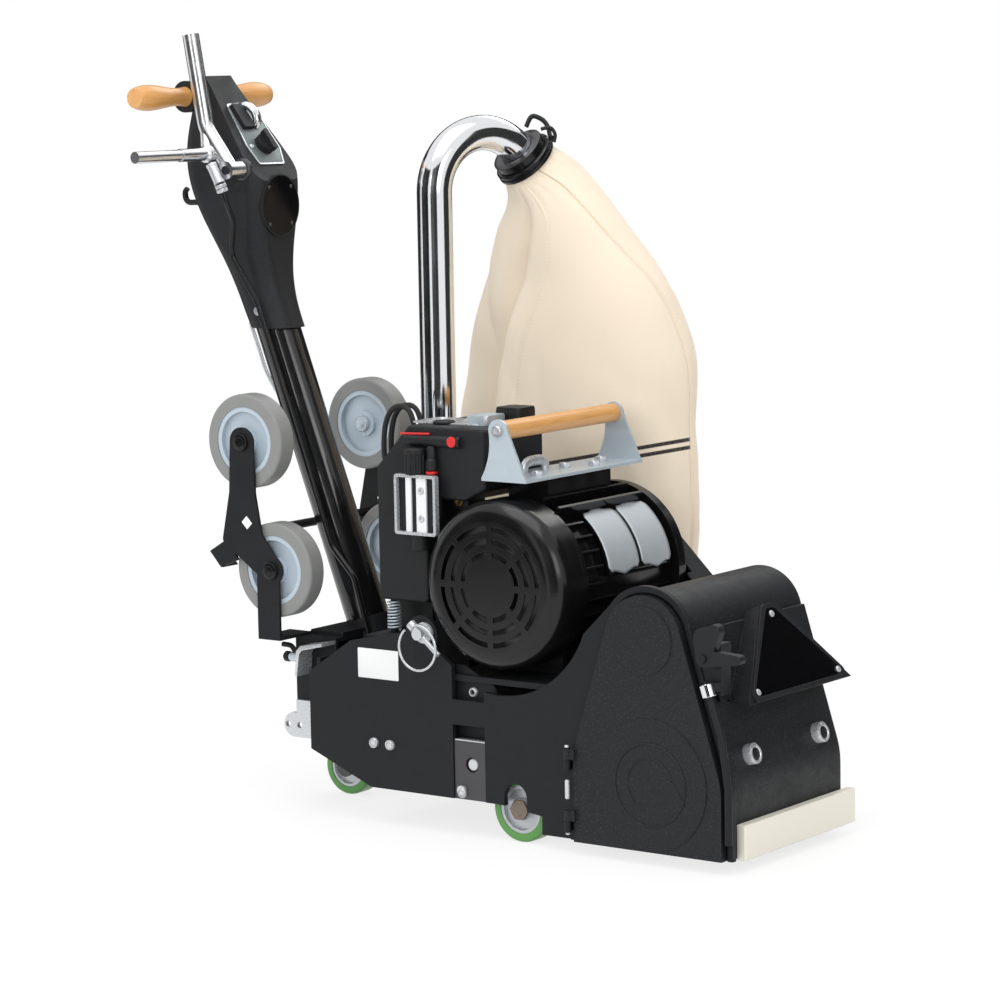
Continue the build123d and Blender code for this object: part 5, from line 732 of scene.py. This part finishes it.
# Carry handle: latch casting and nuts on the bracket's base
CARRY_LATCH_AT = Vector((-262, -28, CARRY_BASE))
CARRY_NUTS = ((-228, -70), (-250, 24), (-228, 60), (-250, 108))
latch_line = curve_points(((0, -24, 0), (0, -23, 8), (0, -15, 13), (0, 0, 14),
                           (0, 15, 13), (0, 23, 8), (0, 24, 0)))
put("carry_latch", bright_zinc, "zinc",
    tube([CARRY_LATCH_AT + point for point in latch_line], 5, sides=18, flat=1.4))
put("carry_nuts", bright_zinc, "zinc",
    *[hex_nut(frame_at((x, y, CARRY_BASE), TOP), 8, 6) for x, y in CARRY_NUTS])

# Electrical box: bright bracket with its strips, plugs, lamp and top fittings
STRIP_TOP = 2
WIDE_STRIP_X = 8.5
STRIPS = ((-12.5, 9), (WIDE_STRIP_X, 16))
PLUG_RIBS = 12
RIB_DEPTH = 0.05


def ribbed(angle):
    """The reach of a ribbed plug of mean radius one."""
    return 1 + RIB_DEPTH * math.copysign(1, math.cos(PLUG_RIBS * angle))


bracket = frame_at((-381.5, -128, 433), NEAR)
put("bracket_frame", bright_zinc, "zinc",
    ring_plate(bracket, box_outline(68, 80, 4), box_outline(60, 72, 2), -3, 5))
put("bracket_back", plastic, "black_plastic", prism(bracket, box_outline(62, 74, 2), -14, -1, bevel=0.3))
put("bracket_strips", label, "zinc",
    *[prism(moved(bracket, x, 0, 0), box_outline(width, 72.5, 1), -1.2, STRIP_TOP) for x, width in STRIPS])
put("bracket_screws", bright_zinc, "zinc",
    *[cross_screw(moved(bracket, WIDE_STRIP_X, up, STRIP_TOP), 5, 2.6) for up in (19, -18)])
put("box_plugs", plastic, "black_plastic",
    turned(frame_at((-387, -122, 472), TOP),
           ((12, 0, 1), (14.5, 3, 1), (14.5, 27, 1), (15.5, 28), (15.5, 34), (12, 36)),
           sides=96, shape=ribbed),
    turned(frame_at((-362, -120, 478), TOP),
           ((6, 0), (8.2, 1.5), (8.2, 14), (6.4, 16), (6.4, 30), (4.5, 33)), sides=36))
put("box_red_parts", red, "knob_plastic",
    turned(frame_at((-362, -120, 473.5), TOP), ((6, 0), (8, 0.8), (8, 4), (6, 4.8)), sides=36),
    turned(frame_at((-327, -122.6, 518), NEAR),
           ((7, -1), (7, 1), (5, 1.8), (4.4, 1.2), (1.5, 1.6)), sides=36),
    tube(((-414, -118, 525), (-366, -118, 526.5)), 1.5, sides=10))
put("box_lug", plastic, "black_plastic",
    prism(frame_at((-337, -92, 441), NEAR),
          rounded(((-12, -14), (12, -14), (16, 16), (-16, 16)), 6), -14, 0))
put("lug_screw", brass, "zinc", hex_nut(frame_at((-337, -92, 437), NEAR), 7, 4.5))
put("box_top_plate", bright_zinc, "zinc",
    prism(frame_at((-368, -52, BOX_TOP), TOP), box_outline(110, 62, 6), -0.5, 1.6))
put("box_switch_body", zinc, "zinc",
    prism(frame_at((-318, -58, BOX_TOP), TOP), box_outline(34, 44, 4), -0.5, 13, bevel=3))
put("box_top_caps", plastic, "black_plastic",
    prism(frame_at((-303, -12, BOX_TOP), TOP), box_outline(40, 40, 5), -0.5, 20, bevel=4),
    turned(frame_at((-372, -78, 537.4), TOP),
           ((15, -0.5), (15, 1.5), (13, 3), (11, 3), (10, 2))))

# Handle head: control plate, clip, bare round badge, cable hook and screws
CONTROL_CORNERS = ((-20, 118), (-30, 46), (-25, 14), (27, 13), (38, 40), (34, 120))
CONTROL_ROUND = 4
CONTROL_T = 1.3
CONTROL_INSIDE = 0.95
BADGE_STEPS = 64
BADGE_TOP = 2
BADGE_RIM = 1.05
HOOK_Y = -28
HOOK_LINE = ((-818, 821), (-838, 821), (-851, 821), (-857, 826), (-858, 835), (-854, 840))
control_corners = [Vector(corner) for corner in CONTROL_CORNERS]
control_middle = sum(control_corners, Vector((0, 0))) / len(control_corners)
control_inner = [control_middle + (corner - control_middle) * CONTROL_INSIDE for corner in control_corners]
control_outline = rounded(control_corners, CONTROL_ROUND)
put("control_plate", panel_grey, "zinc",
    prism(face_frame(SLOPE), control_outline, -0.6, CONTROL_T, bevel=0.4))
put("control_rim", bright_zinc, "zinc",
    ring_plate(face_frame(SLOPE), control_outline, rounded(control_inner, CONTROL_ROUND), 1, 2))
put("control_screw", bright_zinc, "zinc",
    turned(moved(face_frame(SLOPE, -19, 45), 0, 0, CONTROL_T),
           ((3.6, -0.3), (3.6, 1), (2.4, 1.9), (0.8, 1.6)), sides=24))
clip_line = curve_points(((13, 78, 0), (14, 84, 9), (13, 96, 13), (10, 108, 10),
                          (8, 114, 0)))
put("control_clip", chrome, "bright_chrome",
    tube([on_face(SLOPE, *point) for point in clip_line], 5.5, sides=16, flat=1.3))
badge_place = frame_at((-708.6, -2, 817), FRONT)
badge_angles = [2 * math.pi * step / BADGE_STEPS for step in range(BADGE_STEPS)]
badge_edge = [(38 * math.cos(angle), 41 * math.sin(angle)) for angle in badge_angles]
badge_rim = [(x * BADGE_RIM, y * BADGE_RIM) for x, y in badge_edge]
put("head_badge", plate_gloss, "black_gloss", prism(badge_place, badge_edge, -7, BADGE_TOP, bevel=0.8))
put("badge_rim", head_plastic, "black_plastic", ring_plate(badge_place, badge_rim, badge_edge, -7, 2.6))
screw_angles = [math.radians(45 + 90 * step) for step in range(4)]
put("badge_screws", dark_steel, "steel",
    *[cross_screw(moved(badge_place, 33 * math.cos(angle), 36 * math.sin(angle), BADGE_TOP), 2.6, 1.2)
      for angle in screw_angles])
put("cable_hook", plastic, "black_plastic",
    tube(curve_points([(x, HOOK_Y, z) for x, z in HOOK_LINE]), 4.2, sides=18, flat=1.2, taper=0.85))
put("head_screw", bright_zinc, "zinc", socket_screw(frame_at((-724, -35.6, 672), NEAR), 6.2, 4))
put("lever_flange", dark_steel, "steel",
    turned(frame_at((-734.23, -50, 868.03), NEAR),
           ((15.5, -4), (16, -1), (15, 2), (12.5, 3), (12.2, 2)), sides=48))

# Lift rod: bright sleeve and the lock nuts below it
SLEEVE_FROM = Vector((-752.73, -92.5, 876.03))
ROD_FROM = Vector((-738.23, -92.5, 850.03))
ROD_NEXT = Vector((-732.23, -86, 822.03))
sleeve_run = (ROD_FROM - SLEEVE_FROM).length
rod_way = (ROD_NEXT - ROD_FROM).normalized()
put("rod_sleeve", bright_zinc, "zinc",
    turned(frame_at(SLEEVE_FROM, (ROD_FROM - SLEEVE_FROM).normalized()),
           ((5, -1), (7.8, -0.4), (7.8, 3), (7.3, 3.6), (7.3, sleeve_run - 4), (7.9, sleeve_run - 3.4),
            (7.9, sleeve_run), (5, sleeve_run + 0.4))), body="lift_rod")
put("rod_nuts", bright_zinc, "zinc",
    *[hex_nut(frame_at(ROD_FROM + rod_way * run, rod_way), 8.6, 5) for run in (0.8, 7)], body="lift_rod")

# Flat bright bar beside the handle tube
put("tube_strip", bright_zinc, "zinc",
    tube(curve_points(((-752, -20, 655), (-738, -20, 620), (-724, -20, 585),
                       (-700, -16, 545))), 3.2, sides=12, flat=0.5))

# Transport wheels: axle clips on the inner faces and studs in the hubs
CARRIAGE_AXLES = ((-663, 504), (-616, 331))
WHEEL_INSIDE = 113.7
WHEEL_OUTSIDE = 151
AXLE_CLIP = ((11.4, -0.1), (11.4, 3.6), (10, 4.6), (5.5, 4.6), (5, 7), (3, 8))
AXLE_HEAD = ((12.4, -0.2), (12.4, 2), (11, 4.2), (7, 4.9), (6.4, 4.2), (3, 4.4))
clips = []
heads = []
for x, z in CARRIAGE_AXLES:
    for out, inwards in ((NEAR, FAR), (FAR, NEAR)):
        clips.append(turned(frame_at((x, out[1] * WHEEL_INSIDE, z), inwards), AXLE_CLIP, sides=36))
        heads.append(turned(frame_at((x, out[1] * WHEEL_OUTSIDE, z), out), AXLE_HEAD, sides=48))
put("axle_clips", zinc, "zinc", *clips)
put("axle_heads", gloss, "black_gloss", *heads)

# Bag mouth: ribbed clamp band, the collar's face and the band's toggle
COLLAR_T = 6
CLAMP_BAND = ((39.4, 5), (42, 5), (44, 7), (44, 9.5), (42.4, 10.5), (42.4, 12), (44.6, 13),
              (44.6, 17), (42.8, 18.4), (40.2, 18.4))
mouth_up = (Vector(TOP) - PIPE_WAY * PIPE_WAY.z).normalized()
mouth_side = PIPE_WAY.cross(mouth_up)


def on_mouth(*spots):
    """A smooth line through points given along the mouth's axis, up from it and to its side."""
    return curve_points([PIPE_END + PIPE_WAY * along + mouth_up * up + mouth_side * side
                         for along, up, side in spots])


put("bag_clamp", gloss, "black_gloss", turned(frame_at(PIPE_END, PIPE_WAY), CLAMP_BAND, sides=72))
put("collar_face", dark_steel, "steel",
    turned(frame_at(PIPE_END - PIPE_WAY * COLLAR_T, -PIPE_WAY),
           ((38.4, -0.3), (38.4, 0.2), (37.6, 0.6), (26.2, 0.6), (25.6, 0.2), (25, -0.3)), sides=72))
put("clamp_toggle", plastic, "black_plastic",
    tube(on_mouth((-10, 40, -14), (-14, 56, -12), (-4, 60, -2), (6, 56, 6),
                  (14, 47, 12), (16, 43, 20)), 3, flat=1.3),
    tube(on_mouth((-6, 40, 18), (2, 50, 22), (12, 47, 26), (18, 38, 26)), 2.6, sides=12))

# Cable loops over the electrical box
CABLE_R = 3.6
CABLE_ROUTE = ((-459, 463.8), (-483, 463.8), (-477, 552), (-428, 558), (-428, 514.5))
for hand, y in (("near", -70), ("far", -54)):
    line = bpy.data.curves.new(f"cable_loop_{hand}", "CURVE")
    line.dimensions = "3D"
    line.bevel_depth = CABLE_R * MM
    line.bevel_resolution = 5
    line.use_fill_caps = True
    spline = line.splines.new("NURBS")
    route = [(x, y, z) for x, z in CABLE_ROUTE]
    spline.points.add(len(route) - 1)
    for point, spot in zip(spline.points, route):
        point.co = (*mm(*spot), 1)
    spline.order_u = 3
    spline.use_endpoint_u = True
    spline.resolution_u = 24
    line.materials.append(rubber)
    cable = add_object(f"cable_loop_{hand}", line)
    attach(cable, "chassis")
    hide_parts("cable_loops")

# Dust bag: a lofted cloth shell that hangs from the collar
BAG_ROWS = 120
BAG_COLUMNS = 360
BAG_THICKNESS = 0.0012
BAG_SHARP = 80
# The neck's two rings: their run along the pipe's way and their radius
BAG_NECK = ((8, 40), (21, 41))
BAG_TILT = math.radians(28)
PIPE_HEADING = math.radians(71)
# The tilted shoulder, then the level rings to the foot: height, middle, half axes and the folds' share
BAG_SHOULDER = (835, -414, 226, 66, 52, 0.2)
BAG_LEVELS = (
    (770, -406, 254, 108, 70, 0.5),
    (690, -401, 275, 157, 80, 0.8),
    (590, -408, 290, 189, 87, 1),
    (500, -417, 295, 197, 90, 1),
    (420, -417, 295, 198, 90, 1),
    (340, -417, 295, 197, 90, 1),
    (270, -416, 295, 186, 84, 0.9),
    (242, -415, 295, 168, 72, 0.6),
    (235, -415, 295, 120, 48, 0.2),
)
# Each fold: its angle low on the bag, how far it runs ahead of that near the neck, its depth, its half width,
# and how much of it is left low down
BAG_FOLDS = (
    (-123, 27, 26, 8, 0.8),
    (-126, -62, 15, 7, 0.3),
    (18, 12, 9, 8, 1),
    (72, -8, 9, 15, 1),
    (128, -6, 9, 15, 1),
)
FOLD_SHARPNESS = 1.3
FOLD_STEEP = 1.9
FOLD_GENTLE = 0.75
FOLD_GROWTH = 2.5
# Folds and seams drift aside between these shares of the way down
DRIFT_FROM = 0.2
DRIFT_TO = 0.47
# Gathers below the neck: how many, how uneven, where and how far down
GATHERS = 20
GATHER_SWAY = 3
GATHER_DEPTH = 0.4
GATHER_AT = 0.13
GATHER_REACH = 0.07
# Slack cloth: wide billows, small rumples and narrow creases, in millimetres
SLACK_GROWTH = 3
BILLOW_DEPTH = 4
BILLOW_SCALE = 0.009
RUMPLE_DEPTH = 1.4
RUMPLE_SCALE = 0.03
RUMPLE_TALL = 0.6
CREASE_DEPTH = 2.2
CREASE_SCALE = 0.011
CREASE_NARROW = 5
CREASE_LEAN = 0.35
CREASE_TALL = 0.45
# Seams and the stitches beside them, in degrees
SEAM_HALF_ANGLE = 1.3
STITCH_ASIDE = 2.4
STITCH_HALF_ANGLE = 1.1


def bag_stations():
    """The bag's levels from its mouth to its foot: middle, two half axes and the folds' share."""
    across = Vector(FRONT)
    mouth_x = (across - PIPE_WAY * across.dot(PIPE_WAY)).normalized()
    mouth_y = mouth_x.cross(PIPE_WAY)
    made = []
    for run, radius in BAG_NECK:
        made.append((PIPE_END + PIPE_WAY * run, mouth_x * radius, mouth_y * radius, 0))
    z, x, y, half_x, half_y, share = BAG_SHOULDER
    heading = Vector((math.cos(PIPE_HEADING), math.sin(PIPE_HEADING), 0))
    way = heading * math.sin(BAG_TILT) - Vector(TOP) * math.cos(BAG_TILT)
    tilted_x = (across - way * across.dot(way)).normalized()
    made.append((Vector((x, y, z)), tilted_x * half_x, tilted_x.cross(way) * half_y, share))
    for z, x, y, half_x, half_y, share in BAG_LEVELS:
        made.append((Vector((x, y, z)), across * half_x, Vector((0, half_y, 0)), share))
    return made


def bag_level(stations, share):
    """The bag's level at a share of the way down."""
    place = share * (len(stations) - 1)
    index = min(int(place), len(stations) - 2)
    four = [stations[max(0, min(len(stations) - 1, index + step))] for step in (-1, 0, 1, 2)]
    return [between(*(level[part] for level in four), place - index) for part in range(4)]


def high_share(down):
    """One near the neck, none from the middle of the bag down."""
    share = max(0, min(1, (DRIFT_TO - down) / (DRIFT_TO - DRIFT_FROM)))
    return share * share * (3 - 2 * share)


def wrapped(angle):
    """An angle brought within half a turn of none."""
    return math.atan2(math.sin(angle), math.cos(angle))


def bag_relief(angle, down, fold_share, spot):
    """How far the cloth stands out from the plain form, in millimetres."""
    out = 0
    high = high_share(down)
    for foot, lead, depth, width, left in BAG_FOLDS:
        away = wrapped(angle - math.radians(foot + lead * high)) / math.radians(width)
        away *= FOLD_STEEP if away > 0 else FOLD_GENTLE
        fade = left + (1 - left) * min(1, FOLD_GROWTH * high)
        out -= fold_share * fade * depth * math.exp(-abs(away) ** FOLD_SHARPNESS)
    gathered = math.exp(-((down - GATHER_AT) / GATHER_REACH) ** 2)
    out += GATHER_DEPTH * math.cos(GATHERS * angle + GATHER_SWAY * math.sin(angle)) * gathered
    slack = min(1, down * SLACK_GROWTH)
    out += slack * BILLOW_DEPTH * field.noise(spot * BILLOW_SCALE)
    out += slack * RUMPLE_DEPTH * field.noise(Vector((spot.x, spot.y, spot.z * RUMPLE_TALL)) * RUMPLE_SCALE)
    crease = field.noise(Vector((spot.x + spot.z * CREASE_LEAN, spot.y, spot.z * CREASE_TALL)) * CREASE_SCALE)
    out -= slack * CREASE_DEPTH * math.exp(-(crease * CREASE_NARROW) ** 2)
    for foot, lead, height in SEAMS:
        away = math.degrees(wrapped(angle - math.radians(foot + lead * high)))
        out += height * math.exp(-(away / SEAM_HALF_ANGLE) ** 2)
    return out


@form
def bag_shell(mesh):
    """The bag's cloth from its mouth to its closed foot, with coordinates in metres for its weave."""
    stations = bag_stations()
    rows = []
    for row in range(BAG_ROWS + 1):
        down = row / BAG_ROWS
        middle, half_x, half_y, fold_share = bag_level(stations, down)
        ring = []
        for column in range(BAG_COLUMNS):
            angle = 2 * math.pi * column / BAG_COLUMNS
            across = half_x * math.cos(angle)
            deep = half_y * math.sin(angle)
            spot = middle + across + deep
            out = across / half_x.length_squared + deep / half_y.length_squared
            spot = spot + out.normalized() * bag_relief(angle, down, fold_share, spot)
            ring.append(mesh.verts.new(spot * MM))
        rows.append(ring)
    cloth = mesh.loops.layers.uv.new("cloth")
    waist = rows[BAG_ROWS // 2]
    girth = sum((a.co - b.co).length for a, b in zip(waist, waist[1:]))
    front = BAG_COLUMNS * 3 // 4
    length = [0]
    for low, high in zip(rows, rows[1:]):
        length.append(length[-1] + (low[front].co - high[front].co).length)
    for row in range(BAG_ROWS):
        upper = rows[row]
        lower = rows[row + 1]
        for column in range(BAG_COLUMNS):
            after = (column + 1) % BAG_COLUMNS
            face = mesh.faces.new((upper[column], lower[column], lower[after], upper[after]))
            corners = ((column, row), (column, row + 1), (column + 1, row + 1), (column + 1, row))
            for loop, (u, v) in zip(face.loops, corners):
                loop[cloth].uv = (girth * u / BAG_COLUMNS, length[v])
    mesh.faces.new(rows[-1])


def mark_cloth(data):
    """Marks the stitches beside each seam, and the front panel between the seams."""
    count = (BAG_ROWS + 1) * BAG_COLUMNS
    panel = [1] * count
    for index, (foot, lead, _) in enumerate(SEAMS):
        marks = [0] * count
        hand = -1 if index else 1
        for row in range(BAG_ROWS + 1):
            seam = foot + lead * high_share(row / BAG_ROWS)
            for column in range(BAG_COLUMNS):
                spot = row * BAG_COLUMNS + column
                past = (360 * column / BAG_COLUMNS - seam + 180) % 360 - 180
                marks[spot] = max(0, 1 - abs(past - STITCH_ASIDE) / STITCH_HALF_ANGLE)
                if past * hand < 0:
                    panel[spot] = 0
        data.attributes.new(f"seam_{index}", "FLOAT", "POINT").data.foreach_set("value", marks)
    data.attributes.new("front_panel", "FLOAT", "POINT").data.foreach_set("value", panel)


bag = put("dust_bag_cloth", canvas, "canvas", bag_shell(), sharp=BAG_SHARP)
mark_cloth(bag.data)
thicken(bag, BAG_THICKNESS)
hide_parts("dust_bag")


# Floor, light and camera

WHITE = (1, 1, 1, 1)
WORLD_LIGHT = 0.7
FLOOR_HALF = 30
FLOOR_TONE = (0.9, 0.9, 0.9, 1)
FLOOR_ROUGH = 0.8
FLOOR_NEAR_GLOW = 0.78
FLOOR_FADE_FROM = 1.2
FLOOR_FADE_TO = 3.2
CAMERA_AT = Vector((2.4157, -3.7378, 1.0157))
CAMERA_DEGREES = 36.4
AZIMUTH = math.radians(CAMERA_DEGREES)
ELEVATION = math.radians(7.22)
ROLL = math.radians(-1.05)
SENSOR_WIDTH = 36
LENS = 126


def camera_or_mirror(tree):
    """One where the ray comes from the camera, a mirror or glass."""
    path = add_node(tree, "ShaderNodeLightPath").outputs
    seen = math_node(tree, "MAXIMUM", path["Is Camera Ray"], path["Is Glossy Ray"])
    return math_node(tree, "MAXIMUM", seen, path["Is Transmission Ray"])


world = bpy.data.worlds.new("studio")
scene.world = world
world.use_nodes = True
sky = world.node_tree
fill(sky, sky.nodes["Background"], {
    "Color": WHITE,
    "Strength": spread(sky, camera_or_mirror(sky), WORLD_LIGHT, 1, 0, 1),
})

floor_mesh = bpy.data.meshes.new("floor")
floor_corners = [(x * FLOOR_HALF, y * FLOOR_HALF, 0) for x, y in ((-1, -1), (1, -1), (1, 1), (-1, 1))]
floor_mesh.from_pydata(floor_corners, [], [(0, 1, 2, 3)])
floor = add_object("floor", floor_mesh)
floor_material, tree, shader = new_material("pale_floor")
fill(tree, shader, {"Base Color": FLOOR_TONE, "Roughness": FLOOR_ROUGH})
glow = add_node(tree, "ShaderNodeEmission", {"Color": WHITE, "Strength": 1})
away = add_node(tree, "ShaderNodeVectorMath", {0: object_spot(tree)}, operation="LENGTH").outputs["Value"]
share = spread(tree, away, FLOOR_NEAR_GLOW, 1, FLOOR_FADE_FROM, FLOOR_FADE_TO)
blend = add_node(tree, "ShaderNodeMixShader", {
    "Fac": math_node(tree, "MULTIPLY", camera_or_mirror(tree), share),
    1: shader.outputs["BSDF"],
    2: glow.outputs["Emission"],
})
fill(tree, tree.nodes["Material Output"], {"Surface": blend.outputs["Shader"]})
floor_mesh.materials.append(floor_material)

# Dark cards that only bright metal and gloss see: the unlit side of a studio
CARD_MIDDLE = Vector((-0.45, 0.05, 0))
CARD_REACH = 2.4
CARD_TOP = 2.1
CARD_STEPS = 12
CAMERA_HEADING = -90 + CAMERA_DEGREES
# Each card: its two ends in degrees round from the camera's heading, and its tone
CARDS = (
    ("side_card", -92, -42, 0.012),
    ("front_card", -26, 16, 0.03),
    ("right_card", 62, 118, 0.03),
    ("rear_card", -236, -124, 0.03),
)
for name, start, end, tone in CARDS:
    first = CAMERA_HEADING + start
    last = CAMERA_HEADING + end
    corners = []
    faces = []
    for step in range(CARD_STEPS + 1):
        angle = math.radians(first + (last - first) * step / CARD_STEPS)
        ring = CARD_MIDDLE + Vector((math.cos(angle), math.sin(angle), 0)) * CARD_REACH
        corners += [tuple(ring), tuple(ring + Vector((0, 0, CARD_TOP)))]
        if step:
            faces.append((2 * step - 2, 2 * step, 2 * step + 1, 2 * step - 1))
    card_mesh = bpy.data.meshes.new(name)
    card_mesh.from_pydata(corners, [], faces)
    card_material, tree, shader = new_material(name)
    fill(tree, shader, {"Base Color": (tone, tone, tone, 1), "Roughness": 1, "Specular IOR Level": 0})
    card_mesh.materials.append(card_material)
    card = add_object(name, card_mesh)
    card.visible_camera = False
    card.visible_diffuse = False
    card.visible_shadow = False
    card.visible_transmission = False

AIM = Vector((-0.35, 0, 0.45))
# Each lamp: its place, size and power
LAMPS = (
    ("key", (2.7, -1.7, 1.7), 1.6, 24),
    ("overhead", (-0.2, -0.7, 3), 2.4, 44),
    ("fill", (-2.6, -2.6, 1.4), 1.8, 26),
    ("front", (0.9, -3.6, 1.5), 1.4, 36),
    ("rim", (-0.8, 2.8, 2.2), 2, 30),
)
for name, place, size, power in LAMPS:
    lamp = bpy.data.lights.new(name, "AREA")
    lamp.shape = "SQUARE"
    lamp.size = size
    lamp.energy = power
    holder = add_object(name, lamp)
    holder.location = place
    holder.rotation_mode = "QUATERNION"
    holder.rotation_quaternion = (AIM - Vector(place)).to_track_quat("-Z", "Y")

back = Vector((math.sin(AZIMUTH) * math.cos(ELEVATION), -math.cos(AZIMUTH) * math.cos(ELEVATION),
               math.sin(ELEVATION)))
right = (-back).cross(Vector(TOP)).normalized()
up = right.cross(-back)
camera_x = right * math.cos(ROLL) + up * math.sin(ROLL)
camera_y = up * math.cos(ROLL) - right * math.sin(ROLL)
camera_data = bpy.data.cameras.new("camera")
camera_data.sensor_width = SENSOR_WIDTH
camera_data.lens = LENS
camera = add_object("camera", camera_data)
pose = Matrix((camera_x, camera_y, back)).transposed().to_4x4()
pose.translation = CAMERA_AT
camera.matrix_world = pose
scene.camera = camera
scene.view_settings.view_transform = "Standard"
